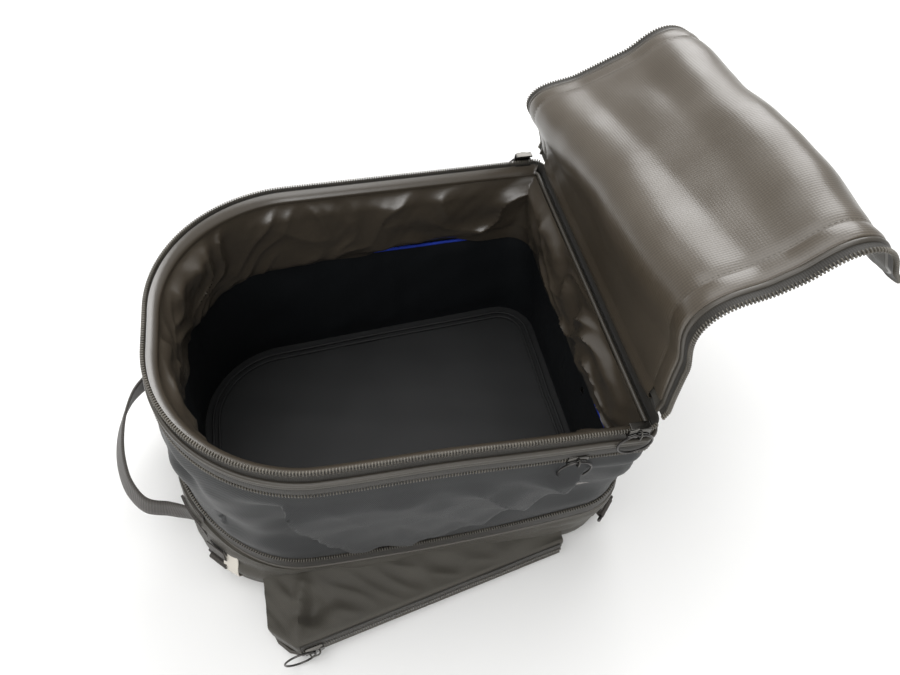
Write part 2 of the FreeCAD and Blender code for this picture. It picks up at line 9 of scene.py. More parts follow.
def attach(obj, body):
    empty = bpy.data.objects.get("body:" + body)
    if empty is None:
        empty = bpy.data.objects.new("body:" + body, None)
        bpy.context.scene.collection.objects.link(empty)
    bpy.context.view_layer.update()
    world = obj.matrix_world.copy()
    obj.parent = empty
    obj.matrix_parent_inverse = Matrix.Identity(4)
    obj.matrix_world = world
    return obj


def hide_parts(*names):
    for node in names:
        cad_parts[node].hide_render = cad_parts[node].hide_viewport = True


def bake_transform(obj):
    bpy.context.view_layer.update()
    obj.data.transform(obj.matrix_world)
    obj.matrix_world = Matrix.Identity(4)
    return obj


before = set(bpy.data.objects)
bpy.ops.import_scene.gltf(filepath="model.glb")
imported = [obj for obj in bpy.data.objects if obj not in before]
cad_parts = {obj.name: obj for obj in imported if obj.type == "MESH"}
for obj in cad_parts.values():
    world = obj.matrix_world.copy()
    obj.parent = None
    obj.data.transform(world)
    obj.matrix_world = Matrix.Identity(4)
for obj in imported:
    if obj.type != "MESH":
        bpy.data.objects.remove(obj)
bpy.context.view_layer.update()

# Tail bag with its lid thrown open. Sizes are in millimetres until a mesh is made.
MM = 0.001

# An outline is a rounded loop: x of its front and back, half widths there, corner radii there.
BASE = (-178.5, 178.5, 122.0, 132.0, 85.0, 45.0)
WAIST = (-170.0, 173.0, 127.0, 142.0, 105.0, 30.0)
RIM = (-161.5, 174.5, 126.0, 139.0, 112.0, 12.0)
WAIST_Z = 110.0
TILT = radians(3.6)
RIM_Z = 205.0
SEAM_MIDDLE = 98.0
NEAR_DIP = [(-134.0, 78.0), (-89.0, 57.0), (-14.0, 51.0), (66.0, 54.0), (121.0, 68.0)]
HINGE_X = 171.5
LID_PIVOT = 5.0
FOLD_X = (82.0, -28.0)
FOLD_SKEW = (3.5, -2.5)
FOLD_SOFT = (42.0, 42.0)
HINGE_OPEN = 78.0
FOLD_OPEN = 69.0
LOOP_RUNS = 9
LOOP_STEPS = 480


# ---------------------------------------------------------------- outlines and places

def loop_runs(level, inset):
    """Straight runs and corner arcs of an outline, from the middle of the back round by the near side."""
    front, back, half_front, half_back, front_radius, back_radius = level
    front_radius -= inset
    back_radius = max(back_radius - inset, 2.0)
    places = [(back - inset, inset - half_back, back_radius),
              (front + inset, inset - half_front, front_radius),
              (front + inset, half_front - inset, front_radius),
              (back - inset, half_back - inset, back_radius)]
    corners = [np.array(place[:2]) for place in places]
    start = np.array([back - inset, 0.0])
    here = start
    runs = []
    for index, corner in enumerate(corners):
        behind = corners[index - 1] - corner
        ahead = corners[(index + 1) % 4] - corner
        behind = behind / np.linalg.norm(behind)
        ahead = ahead / np.linalg.norm(ahead)
        half = np.arccos(np.dot(behind, ahead)) / 2
        radius = places[index][2]
        bisector = (behind + ahead) / np.linalg.norm(behind + ahead)
        centre = corner + bisector * radius / sin(half)
        first = corner + behind * radius / tan(half)
        last = corner + ahead * radius / tan(half)
        runs.append(("line", here, first))
        runs.append(("arc", centre, first, last, radius))
        here = last
    runs.append(("line", here, start))
    return runs


def loop_at(level, inset, place):
    """Points and outward normals of an outline; place counts its runs, with the fraction along each."""
    place = np.mod(np.asarray(place, float), LOOP_RUNS)
    points = np.zeros(place.shape + (2,))
    normals = np.zeros(place.shape + (2,))
    for index, run in enumerate(loop_runs(level, inset)):
        inside = (place >= index) & (place < index + 1)
        share = (place[inside] - index)[:, None]
        if run[0] == "line":
            along = run[2] - run[1]
            points[inside] = run[1] + along * share
            length = max(np.linalg.norm(along), 1e-9)
            normals[inside] = np.array([-along[1], along[0]]) / length
            continue
        _, centre, first, last, radius = run
        start = np.arctan2(*(first - centre)[::-1])
        end = np.arctan2(*(last - centre)[::-1])
        if end > start:
            end -= 2 * pi
        angle = start + (end - start) * share[:, 0]
        spoke = np.stack([np.cos(angle), np.sin(angle)], -1)
        points[inside] = centre + spoke * radius
        normals[inside] = spoke
    return points, normals


def even_places(level, count):
    """Places on an outline at even distances round it."""
    fine = np.linspace(0, LOOP_RUNS, 4001)[:-1]
    points, _ = loop_at(level, 0, fine)
    steps = np.linalg.norm(np.roll(points, -1, 0) - points, axis=1)
    travelled = np.concatenate([[0], np.cumsum(steps)])
    wanted = np.linspace(0, travelled[-1], count, endpoint=False)
    return np.interp(wanted, travelled, np.append(fine, LOOP_RUNS))


PLACES = even_places(RIM, LOOP_STEPS)


def ease(value, low, high):
    """Smooth step from 0 at low to 1 at high."""
    share = np.clip((value - low) / (high - low), 0, 1)
    return share * share * (3 - 2 * share)


def through(points, x):
    """Smooth curve through points, read at x."""
    px = np.array([p[0] for p in points], float)
    pz = np.array([p[1] for p in points], float)
    slope = np.gradient(pz, px)
    x = np.clip(x, px[0], px[-1])
    k = np.clip(np.searchsorted(px, x) - 1, 0, len(px) - 2)
    wide = px[k + 1] - px[k]
    s = (x - px[k]) / wide
    return ((2 * s**3 - 3 * s**2 + 1) * pz[k] + (s**3 - 2 * s**2 + s) * wide * slope[k]
            + (3 * s**2 - 2 * s**3) * pz[k + 1] + (s**3 - s**2) * wide * slope[k + 1])


def seam_z(x, y):
    """Height of the lower zip's teeth, which dips where the near wall slumps."""
    straight = SEAM_MIDDLE - tan(TILT) * np.clip(x, WAIST[0], WAIST[1])
    ends = [(WAIST[0], SEAM_MIDDLE - tan(TILT) * WAIST[0])], [(WAIST[1], SEAM_MIDDLE - tan(TILT) * WAIST[1])]
    dipped = through(ends[0] + NEAR_DIP + ends[1], x)
    return np.where(y < 0, dipped, straight)


def lower_at(place, inset, z):
    """Points and outward normals on the tapered lower wall, at a height for each place."""
    low, normals = loop_at(BASE, inset, place)
    high, high_normals = loop_at(WAIST, inset, place)
    share = (z / WAIST_Z)[..., None]
    flat = low + (high - low) * share
    normals = normals + (high_normals - normals) * np.clip(share, 0, 1)
    normals /= np.linalg.norm(normals, axis=-1, keepdims=True)
    points = np.concatenate([flat, z[..., None]], -1)
    return points, np.concatenate([normals, np.zeros_like(z)[..., None]], -1)


def seam_at(place, inset=0.0, rise=0.0):
    """Points and outward normals along the lower zip."""
    z = np.full(place.shape, SEAM_MIDDLE)
    for _ in range(4):
        points, normals = lower_at(place, inset, z + rise)
        z = seam_z(points[..., 0], points[..., 1])
    return lower_at(place, inset, z + rise)


def on_rim(points):
    """Carry points from the rim's own level frame to the bag's."""
    x, y, z = points[..., 0], points[..., 1], points[..., 2]
    return np.stack([x * cos(TILT) + z * sin(TILT), y, z * cos(TILT) - x * sin(TILT) + RIM_Z], -1)


def rim_turned(vectors):
    """Turn directions from the rim's own level frame to the bag's."""
    return on_rim(vectors) - np.array([0, 0, RIM_Z])


def rim_at(place, inset, z):
    """Points and outward normals round the rim at height z of its own frame."""
    flat, normals = loop_at(RIM, inset, place)
    z = np.zeros(place.shape) + z
    points = on_rim(np.concatenate([flat, z[..., None]], -1))
    return points, rim_turned(np.concatenate([normals, np.zeros_like(z)[..., None]], -1))


RIM_UP = rim_turned(np.array([0.0, 0.0, 1.0]))


def ripples(u, v, seed, long_wave, short_wave, count=7):
    """Smooth irregular waves between about -1 and 1."""
    dice = np.random.RandomState(seed)
    total = np.zeros(np.broadcast(u, v).shape)
    for _ in range(count):
        wave = dice.uniform(short_wave, long_wave)
        heading = dice.uniform(0, 2 * pi)
        shift = dice.uniform(0, 2 * pi)
        total = total + np.sin((u * cos(heading) + v * sin(heading)) * 2 * pi / wave + shift)
    return total / count**0.5 / 1.4


# ---------------------------------------------------------------- meshes

def surface_normals(grid, closed):
    """Unit normals of a grid of points; closed joins its last column to its first."""
    if closed:
        wide = np.concatenate([grid[:, -1:], grid, grid[:, :1]], 1)
        across = (wide[:, 2:] - wide[:, :-2])
    else:
        across = np.gradient(grid, axis=1)
    along = np.gradient(grid, axis=0)
    normals = np.cross(across, along)
    return normals / np.maximum(np.linalg.norm(normals, axis=-1, keepdims=True), 1e-9)


def add_piece(name, points, faces, corner_uvs, material, smooth=True):
    """Mesh object from points in millimetres, with its faces pointing outwards."""
    points = np.asarray(points, float)
    volume = 0.0
    for face in faces:
        a, b, c = points[face[0]], points[face[1]], points[face[2]]
        volume += np.dot(a, np.cross(b, c))
        if len(face) == 4:
            volume += np.dot(a, np.cross(c, points[face[3]]))
    if volume < 0:
        faces = [face[::-1] for face in faces]
        corner_uvs = [corner[::-1] for corner in corner_uvs]
    mesh = bpy.data.meshes.new(name)
    mesh.from_pydata((points * MM).tolist(), [], faces)
    layer = mesh.uv_layers.new(name="cloth")
    flat_uvs = np.array([uv for corner in corner_uvs for uv in corner], np.float32)
    layer.data.foreach_set("uv", flat_uvs.ravel())
    if smooth:
        mesh.polygons.foreach_set("use_smooth", np.ones(len(mesh.polygons), bool))
        mesh.update()
        mesh.set_sharp_from_angle(angle=radians(48))
    mesh.materials.append(material)
    piece = bpy.data.objects.new(name, mesh)
    bpy.context.scene.collection.objects.link(piece)
    return piece


def cut_length(grid, closed):
    """Cloth coordinates of a grid in millimetres: across its columns and along its rows."""
    step_u = np.linalg.norm(np.diff(grid, axis=1), axis=-1).mean(0)
    step_v = np.linalg.norm(np.diff(grid, axis=0), axis=-1).mean(1)
    u = np.concatenate([[0], np.cumsum(step_u)])
    v = np.concatenate([[0], np.cumsum(step_v)])
    if closed:
        last = np.linalg.norm(grid[:, 0] - grid[:, -1], axis=-1).mean()
        u = np.append(u, u[-1] + last)
    return u, v


def thick_grid(name, grid, thickness, material, closed=False, uv=None, cloth=None):
    """Closed sheet: a grid of points, the same grid moved inwards, and the edges between them.
    cloth gives each point's place on the flat cloth, where that isn't even across the grid."""
    rows, columns = grid.shape[:2]
    normals = surface_normals(grid, closed)
    thickness = np.zeros((rows, columns)) + thickness
    inner = grid - normals * thickness[..., None]
    u, v = cut_length(grid, closed) if uv is None else uv
    if cloth is None:
        cloth = np.stack(np.meshgrid(u, v), -1)
    cloth = cloth.tolist()
    points = np.concatenate([grid.reshape(-1, 3), inner.reshape(-1, 3)])
    faces = []
    corner_uvs = []
    shift = rows * columns
    spans = columns if closed else columns - 1
    for i in range(rows - 1):
        for j in range(spans):
            k = (j + 1) % columns
            quad = [i * columns + j, i * columns + k, (i + 1) * columns + k, (i + 1) * columns + j]
            corner = [cloth[i][j], cloth[i][j + 1], cloth[i + 1][j + 1], cloth[i + 1][j]]
            faces.append(quad)
            corner_uvs.append(corner)
            faces.append([index + shift for index in quad[::-1]])
            corner_uvs.append(corner[::-1])
    for i, turn in ((0, 1), (rows - 1, -1)):
        for j in range(spans):
            k = (j + 1) % columns
            a, b = i * columns + j, i * columns + k
            faces.append([b, a, a + shift, b + shift][::turn])
            corner_uvs.append([(u[j + 1], v[i]), (u[j], v[i]), (u[j], v[i] + 1),
                               (u[j + 1], v[i] + 1)][::turn])
    if not closed:
        for j, turn in ((0, 1), (columns - 1, -1)):
            for i in range(rows - 1):
                a, b = i * columns + j, (i + 1) * columns + j
                faces.append([a, b, b + shift, a + shift][::turn])
                corner_uvs.append([(u[j], v[i]), (u[j], v[i + 1]), (u[j] + 1, v[i + 1]),
                                   (u[j] + 1, v[i])][::turn])
    return add_piece(name, points, faces, corner_uvs, material)


def sweep(name, path, out, up, profile, material, closed=True):
    """Solid band: a closed profile of (outwards, upwards) distances carried along a path."""
    path = np.asarray(path, float)
    out = np.broadcast_to(out, path.shape)
    up = np.broadcast_to(up, path.shape)
    profile = np.asarray(profile, float)
    rings = path[:, None] + out[:, None] * profile[None, :, :1] + up[:, None] * profile[None, :, 1:]
    return ring_mesh(name, rings, material, closed)


def ring_mesh(name, rings, material, closed):
    """Solid through closed rings of points, one after the other."""
    count, sides = rings.shape[:2]
    path = rings.mean(1)
    steps = np.linalg.norm(np.diff(path, axis=0), axis=1)
    u = np.concatenate([[0], np.cumsum(steps)])
    u = np.append(u, u[-1] + np.linalg.norm(path[0] - path[-1]))
    around = np.linalg.norm(np.roll(rings, -1, 1) - rings, axis=-1).mean(0)
    v = np.concatenate([[0], np.cumsum(around)])
    faces = []
    corner_uvs = []
    for i in range(count if closed else count - 1):
        n = (i + 1) % count
        for j in range(sides):
            k = (j + 1) % sides
            faces.append([i * sides + j, i * sides + k, n * sides + k, n * sides + j])
            corner_uvs.append([(u[i], v[j]), (u[i], v[j + 1]), (u[i + 1], v[j + 1]), (u[i + 1], v[j])])
    if not closed:
        faces.append(list(range(sides))[::-1])
        corner_uvs.append([(0, 0)] * sides)
        faces.append([(count - 1) * sides + j for j in range(sides)])
        corner_uvs.append([(0, 0)] * sides)
    return add_piece(name, rings.reshape(-1, 3), faces, corner_uvs, material)


def round_profile(radius, sides=10, out=0.0, up=0.0, flat=1.0):
    """Round or oval profile."""
    angle = np.linspace(0, 2 * pi, sides, endpoint=False)
    return np.stack([out + np.cos(angle) * radius, up + np.sin(angle) * radius * flat], -1)


def strip_profile(outer, thickness, low, high, rows=6, bulge=0.0):
    """Profile of an upright strip: its outer face at outer, bulging a little between its edges."""
    share = np.linspace(0, 1, rows)
    rise = low + (high - low) * share
    belly = bulge * np.sin(pi * share)
    face = np.stack([outer + belly, rise], -1)
    back = np.stack([outer + belly - thickness, rise], -1)[::-1]
    return np.concatenate([face, back])


def unit_run(path):
    """Unit directions along a path."""
    run = np.gradient(path, axis=0)
    return run / np.linalg.norm(run, axis=1, keepdims=True)


def tube(name, path, radius, material, closed=False, sides=10):
    """Round tube along a path in any direction."""
    path = np.asarray(path, float)
    if closed:
        tangents = np.roll(path, -1, 0) - np.roll(path, 1, 0)
    else:
        tangents = np.gradient(path, axis=0)
    tangents /= np.linalg.norm(tangents, axis=1, keepdims=True)
    side = np.cross(tangents[0], [0.3, 0.2, 0.93])
    outs = []
    for tangent in tangents:
        side = side - tangent * np.dot(side, tangent)
        side = side / np.linalg.norm(side)
        outs.append(side)
    outs = np.array(outs)
    return sweep(name, path, outs, np.cross(tangents, outs), round_profile(radius, sides), material, closed)


def join(name, pieces):
    """One object from several that share a body."""
    with bpy.context.temp_override(active_object=pieces[0], selected_editable_objects=pieces):
        bpy.ops.object.join()
    pieces[0].name = name
    return pieces[0]


# ---------------------------------------------------------------- rows of teeth and stitches

def row_tree(name, head):
    """Tree that sets a small rounded shape at even steps along a path, pointing the way that its
    attribute "point" says, with a wider head on its tip where head is true."""
    tree = bpy.data.node_groups.new(name, "GeometryNodeTree")
    face = tree.interface
    face.new_socket("Path", in_out="INPUT", socket_type="NodeSocketGeometry")
    face.new_socket("Pitch", in_out="INPUT", socket_type="NodeSocketFloat")
    face.new_socket("Size", in_out="INPUT", socket_type="NodeSocketVector")
    face.new_socket("Finish", in_out="INPUT", socket_type="NodeSocketMaterial")
    face.new_socket("Row", in_out="OUTPUT", socket_type="NodeSocketGeometry")
    nodes, links = tree.nodes, tree.links
    given = nodes.new("NodeGroupInput")
    shape = nodes.new("GeometryNodeMeshUVSphere")
    shape.inputs["Segments"].default_value = 6
    shape.inputs["Rings"].default_value = 5
    shape.inputs["Radius"].default_value = 0.5
    sized = nodes.new("GeometryNodeTransform")
    links.new(shape.outputs["Mesh"], sized.inputs["Geometry"])
    links.new(given.outputs["Size"], sized.inputs["Scale"])
    solid = sized.outputs["Geometry"]
    if head:
        tip = nodes.new("GeometryNodeTransform")
        links.new(shape.outputs["Mesh"], tip.inputs["Geometry"])
        factor = nodes.new("ShaderNodeVectorMath")
        factor.operation = "MULTIPLY"
        links.new(given.outputs["Size"], factor.inputs[0])
        factor.inputs[1].default_value = (0.34, 1.35, 0.8)
        links.new(factor.outputs["Vector"], tip.inputs["Scale"])
        offset = nodes.new("ShaderNodeVectorMath")
        offset.operation = "MULTIPLY"
        links.new(given.outputs["Size"], offset.inputs[0])
        offset.inputs[1].default_value = (0.36, 0, 0)
        links.new(offset.outputs["Vector"], tip.inputs["Translation"])
        both = nodes.new("GeometryNodeJoinGeometry")
        links.new(solid, both.inputs[0])
        links.new(tip.outputs["Geometry"], both.inputs[0])
        solid = both.outputs["Geometry"]
    curve = nodes.new("GeometryNodeMeshToCurve")
    links.new(given.outputs["Path"], curve.inputs["Mesh"])
    even = nodes.new("GeometryNodeResampleCurve")
    if "Mode" in even.inputs:
        even.inputs["Mode"].default_value = "Length"
    else:
        even.mode = "LENGTH"
    links.new(curve.outputs["Curve"], even.inputs["Curve"])
    links.new(given.outputs["Pitch"], even.inputs["Length"])
    point = nodes.new("GeometryNodeInputNamedAttribute")
    point.data_type = "FLOAT_VECTOR"
    point.inputs["Name"].default_value = "point"
    tangent = nodes.new("GeometryNodeInputTangent")
    turn = nodes.new("FunctionNodeAxesToRotation")
    turn.primary_axis = "X"
    turn.secondary_axis = "Y"
    links.new(point.outputs["Attribute"], turn.inputs["Primary Axis"])
    links.new(tangent.outputs["Tangent"], turn.inputs["Secondary Axis"])
    placed = nodes.new("GeometryNodeInstanceOnPoints")
    links.new(even.outputs["Curve"], placed.inputs["Points"])
    links.new(solid, placed.inputs["Instance"])
    links.new(turn.outputs["Rotation"], placed.inputs["Rotation"])
    real = nodes.new("GeometryNodeRealizeInstances")
    links.new(placed.outputs["Instances"], real.inputs["Geometry"])
    rounded = nodes.new("GeometryNodeSetShadeSmooth")
    links.new(real.outputs["Geometry"], rounded.inputs["Geometry"])
    finished = nodes.new("GeometryNodeSetMaterial")
    links.new(rounded.outputs["Geometry"], finished.inputs["Geometry"])
    links.new(given.outputs["Finish"], finished.inputs["Material"])
    result = nodes.new("NodeGroupOutput")
    links.new(finished.outputs["Geometry"], result.inputs["Row"])
    return tree


SEAM_PITCH = 3.2
SEAM_STITCH = (2.2, 0.45, 0.45)
ROW_TREES = {"teeth": row_tree("zip_teeth", True), "stitches": row_tree("stitches", False)}


def row(kind, name, path, point, pitch, size, material, closed=True):
    """Row of teeth or stitches along a path; size is along point, along the path and across."""
    path = np.asarray(path, float)
    count = len(path)
    edges = [(i, (i + 1) % count) for i in range(count if closed else count - 1)]
    mesh = bpy.data.meshes.new(name + "_path")
    mesh.from_pydata((path * MM).tolist(), edges, [])
    attribute = mesh.attributes.new("point", "FLOAT_VECTOR", "POINT")
    attribute.data.foreach_set("vector", np.broadcast_to(point, path.shape).astype(np.float32).ravel())
    guide = bpy.data.objects.new(name + "_guide", mesh)
    bpy.context.scene.collection.objects.link(guide)
    modifier = guide.modifiers.new("row", "NODES")
    tree = ROW_TREES[kind]
    sockets = {s.name: s.identifier for s in tree.interface.items_tree if s.in_out == "INPUT"}
    modifier.node_group = tree
    modifier[sockets["Pitch"]] = pitch * MM
    modifier[sockets["Size"]] = [value * MM for value in size]
    modifier[sockets["Finish"]] = material
    graph = bpy.context.evaluated_depsgraph_get()
    plain = bpy.data.meshes.new_from_object(guide.evaluated_get(graph))
    plain.name = name
    bpy.data.objects.remove(guide)
    piece = bpy.data.objects.new(name, plain)
    bpy.context.scene.collection.objects.link(piece)
    return piece


# ---------------------------------------------------------------- finishes

def paint(red, green, blue):
    """Linear colour from display values of 0 to 255."""
    return tuple(((value / 255 + 0.055) / 1.055) ** 2.4 if value > 10 else value / 3294.6
                 for value in (red, green, blue)) + (1.0,)


def node(tree, kind, inputs=(), **settings):
    """Shader node with its settings, and its inputs set or linked."""
    made = tree.nodes.new(kind)
    for key, value in settings.items():
        setattr(made, key, value)
    for key, value in dict(inputs).items():
        if isinstance(value, bpy.types.NodeSocket):
            tree.links.new(value, made.inputs[key])
        else:
            made.inputs[key].default_value = value
    return made


def sums(tree, operation, first, second=0.0):
    """Output of a Math node."""
    return node(tree, "ShaderNodeMath", {0: first, 1: second}, operation=operation).outputs[0]


def blank(name, roughness, metallic=0.0, sheen=0.0, coat=0.0, specular=0.5):
    """Material with only its shader."""
    material = bpy.data.materials.new(name)
    material.use_nodes = True
    tree = material.node_tree
    shader = tree.nodes["Principled BSDF"]
    shader.inputs["Roughness"].default_value = roughness
    shader.inputs["Metallic"].default_value = metallic
    shader.inputs["Sheen Weight"].default_value = sheen
    shader.inputs["Sheen Roughness"].default_value = 0.5
    shader.inputs["Coat Weight"].default_value = coat
    shader.inputs["Coat Roughness"].default_value = 0.28
    shader.inputs["Specular IOR Level"].default_value = specular
    return material, tree, shader


def threads(tree, kind, pitch):
    """Height of a weave between 0 and 1, from cloth coordinates in millimetres."""
    cloth = node(tree, "ShaderNodeUVMap", uv_map="cloth")
    split = node(tree, "ShaderNodeSeparateXYZ", {0: cloth.outputs[0]})
    turns = 2 * pi / pitch
    u = sums(tree, "MULTIPLY", split.outputs[0], turns)
    v = sums(tree, "MULTIPLY", split.outputs[1], turns)
    if kind == "twill":
        wave = sums(tree, "SINE", sums(tree, "ADD", u, v))
    elif kind == "ribs":
        wave = sums(tree, "MULTIPLY", sums(tree, "SINE", u), 1.0)
        wave = sums(tree, "ADD", wave, sums(tree, "MULTIPLY", sums(tree, "SINE", v), 0.35))
        wave = sums(tree, "MULTIPLY", wave, 0.74)
    elif kind == "square":
        ribs = sums(tree, "MULTIPLY", sums(tree, "SINE", v), 0.7)
        wave = sums(tree, "ADD", ribs, sums(tree, "MULTIPLY", sums(tree, "SINE", u), 0.3))
    else:
        wave = sums(tree, "MULTIPLY", sums(tree, "SINE", u), sums(tree, "SINE", v))
    return sums(tree, "MULTIPLY_ADD", wave, 0.5)


def cloth_finish(name, colour, dark, kind, pitch, depth, roughness, mottle=0.35, worn=0.0, **shine):
    """Woven finish: its threads shade and lift it, and it is never quite one colour."""
    material, tree, shader = blank(name, roughness, **shine)
    height = threads(tree, kind, pitch)
    height.node.inputs[2].default_value = 0.5
    place = node(tree, "ShaderNodeTexCoord").outputs["Object"]
    cloudy = node(tree, "ShaderNodeTexNoise", {"Vector": place, "Scale": 22.0, "Detail": 4.0})
    grain = node(tree, "ShaderNodeTexNoise", {"Vector": place, "Scale": 900.0, "Detail": 2.0})
    shade = sums(tree, "MULTIPLY", height, 0.55)
    shade = sums(tree, "ADD", shade, sums(tree, "MULTIPLY", cloudy.outputs[0], mottle))
    shade = sums(tree, "ADD", shade, sums(tree, "MULTIPLY", grain.outputs[0], 0.25))
    mix = node(tree, "ShaderNodeMix", {0: shade, 6: dark, 7: colour}, data_type="RGBA")
    tree.links.new(mix.outputs[2], shader.inputs["Base Color"])
    if worn:
        spread = node(tree, "ShaderNodeMapRange",
                      {"Value": cloudy.outputs[0], "From Min": 0.35, "From Max": 0.65,
                                                   "To Min": roughness - worn, "To Max": roughness + worn})
        tree.links.new(spread.outputs[0], shader.inputs["Roughness"])
    raised = sums(tree, "ADD", height, sums(tree, "MULTIPLY", grain.outputs[0], 0.4))
    bump = node(tree, "ShaderNodeBump", {"Height": raised, "Distance": depth * MM, "Strength": 1.0})
    tree.links.new(bump.outputs[0], shader.inputs["Normal"])
    return material


def solid_finish(name, colour, dark, roughness, scale=60.0, depth=0.02, **shine):
    """Plain finish of metal, plastic, foam or board, with faint grain and uneven gloss."""
    material, tree, shader = blank(name, roughness, **shine)
    place = node(tree, "ShaderNodeTexCoord").outputs["Object"]
    cloudy = node(tree, "ShaderNodeTexNoise", {"Vector": place, "Scale": scale, "Detail": 5.0})
    mix = node(tree, "ShaderNodeMix", {0: cloudy.outputs[0], 6: dark, 7: colour}, data_type="RGBA")
    tree.links.new(mix.outputs[2], shader.inputs["Base Color"])
    spread = node(tree, "ShaderNodeMapRange", {"Value": cloudy.outputs[0], "To Min": roughness * 0.8,
                                               "To Max": roughness * 1.25})
    tree.links.new(spread.outputs[0], shader.inputs["Roughness"])
    fine = node(tree, "ShaderNodeTexNoise", {"Vector": place, "Scale": scale * 20, "Detail": 2.0})
    bump = node(tree, "ShaderNodeBump", {"Height": fine.outputs[0], "Distance": depth * MM, "Strength": 0.6})
    tree.links.new(bump.outputs[0], shader.inputs["Normal"])
    return material


OUTER = cloth_finish("outer_cloth", paint(80, 76, 67), paint(36, 34, 30), "plain", 1.2, 0.14, 0.6, sheen=0.1)
COATED = cloth_finish("coated_cloth", paint(92, 83, 70), paint(58, 51, 43), "square", 1.7, 0.07, 0.36,
                      mottle=0.3, worn=0.06, coat=0.35, specular=0.7)
SATIN = cloth_finish("satin_lining", paint(84, 76, 65), paint(42, 37, 31), "plain", 0.7, 0.02, 0.22,
                     coat=0.5, specular=0.9)
TWILL = cloth_finish("gusset_twill", paint(42, 44, 45), paint(15, 16, 18), "twill", 1.6, 0.14, 0.55,
                     sheen=0.1)
STIFF = cloth_finish("stiff_lining", paint(30, 33, 36), paint(11, 12, 14), "plain", 0.9, 0.03, 0.5,
                     specular=0.3)
FLOOR = cloth_finish("floor_cloth", paint(32, 33, 34), paint(14, 14, 15), "plain", 1.2, 0.06, 0.65)
WEBBING = cloth_finish("webbing", paint(72, 66, 60), paint(26, 24, 22), "ribs", 2.2, 0.25, 0.6, sheen=0.12)
TAPE = cloth_finish("zip_tape", paint(58, 55, 50), paint(26, 25, 23), "ribs", 1.3, 0.10, 0.6, sheen=0.08)
PIPING = cloth_finish("piping", paint(82, 77, 69), paint(46, 43, 38), "plain", 0.9, 0.03, 0.36, coat=0.2)
PATCH = cloth_finish("reflective", paint(232, 226, 216), paint(180, 174, 162), "square", 1.0, 0.03, 0.45,
                     mottle=0.5)
# Zip coil: its own dark plastic, painted lighter than it is; the lift is a painted highlight standing in for
# the light its teeth catch.
COIL_WITH_PAINTED_SHINE = solid_finish("zip_coil", paint(112, 106, 95), paint(50, 47, 41), 0.28, specular=0.8)
METAL = solid_finish("dark_metal", paint(112, 110, 106), paint(60, 58, 56), 0.24, metallic=1.0)
STEEL = solid_finish("dark_steel", paint(96, 94, 92), paint(52, 50, 50), 0.28, metallic=1.0)
FOAM = solid_finish("blue_foam", paint(40, 78, 214), paint(22, 44, 150), 0.8, scale=300.0, depth=0.2)
RUBBER = solid_finish("base_rubber", paint(44, 42, 40), paint(24, 23, 22), 0.7, scale=120.0, depth=0.1)
BOARD = solid_finish("board", paint(70, 66, 60), paint(48, 45, 40), 0.8)
THREAD = solid_finish("thread", paint(104, 98, 88), paint(64, 60, 53), 0.6)
RED_THREAD = solid_finish("red_thread", paint(196, 64, 84), paint(150, 40, 60), 0.6)


def keep_node(name, material):
    """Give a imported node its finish."""
    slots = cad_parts[name].material_slots
    for place in slots:
        place.material = material


def settle(piece, body, slot, *nodes):
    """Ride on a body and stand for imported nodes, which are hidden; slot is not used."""
    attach(piece, body)
    if nodes:
        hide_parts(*nodes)
    return piece


for kept, finish in (("base_panel", RUBBER), ("base_board", BOARD)):
    keep_node(kept, finish)
RINGS = ["main_ring_near", "main_ring_far", "expansion_ring", "pocket_ring_near", "pocket_ring_far",
         "lid_ring"]
for kept in RINGS + ["tie_ring_1", "tie_ring_2", "tie_ring_3", "tie_ring_4"]:
    keep_node(kept, STEEL)


# ---------------------------------------------------------------- floor and stiff wall

def disc(name, inset, z, rings, thickness, material, seed):
    """Sheet that fills an outline, a little uneven."""
    flat, _ = loop_at(BASE, inset, PLACES)
    top = []
    for share in np.linspace(1.0, 1.0 / rings, rings):
        x, y = flat[:, 0] * share, flat[:, 1] * share
        top.append(np.stack([x, y, z + 0.5 * ripples(x, y, seed, 90, 30) * (share < 0.97)], -1))
    top = np.array(top)
    under = top - np.array([0, 0, thickness])
    middle = np.array([[0, 0, top[-1, :, 2].mean()], [0, 0, under[-1, :, 2].mean()]])
    points = np.concatenate([top.reshape(-1, 3), under.reshape(-1, 3), middle])
    steps, shift = len(PLACES), rings * len(PLACES)
    faces = []
    for j in range(steps):
        k = (j + 1) % steps
        for i in range(0, (rings - 1) * steps, steps):
            faces.append([i + j, i + k, i + steps + k, i + steps + j])
            faces.append([i + shift + j, i + shift + steps + j, i + shift + steps + k, i + shift + k])
        faces.append([k, j, j + shift, k + shift])
        last = (rings - 1) * steps
        faces.append([last + j, last + k, 2 * shift])
        faces.append([last + shift + k, last + shift + j, 2 * shift + 1])
    uvs = [[tuple(points[index][:2]) for index in face] for face in faces]
    return add_piece(name, points, faces, uvs, material)


floor_sheet = disc("floor_lining", 3.5, 6.5, 14, 0.9, FLOOR, 3)
settle(floor_sheet, "bag", "floor_cloth", "floor_lining")
flat, out = loop_at(BASE, 15.5, PLACES)
cords = []
for spread, height in ((0.0, 8.0), (5.5, 7.6)):
    flat, out = loop_at(BASE, 15.5 + spread, PLACES)
    wander = 0.8 * ripples(np.arange(LOOP_STEPS), 0, 5, 120, 60)
    points = np.concatenate([flat + out * wander[:, None], np.full((LOOP_STEPS, 1), height)], -1)
    outs = np.concatenate([out, np.zeros((LOOP_STEPS, 1))], -1)
    cords.append(sweep("floor_cord", points, outs, [0, 0, 1], round_profile(1.4, 8), FLOOR))
settle(join("floor_piping", cords), "bag", "floor_cloth", "floor_piping")


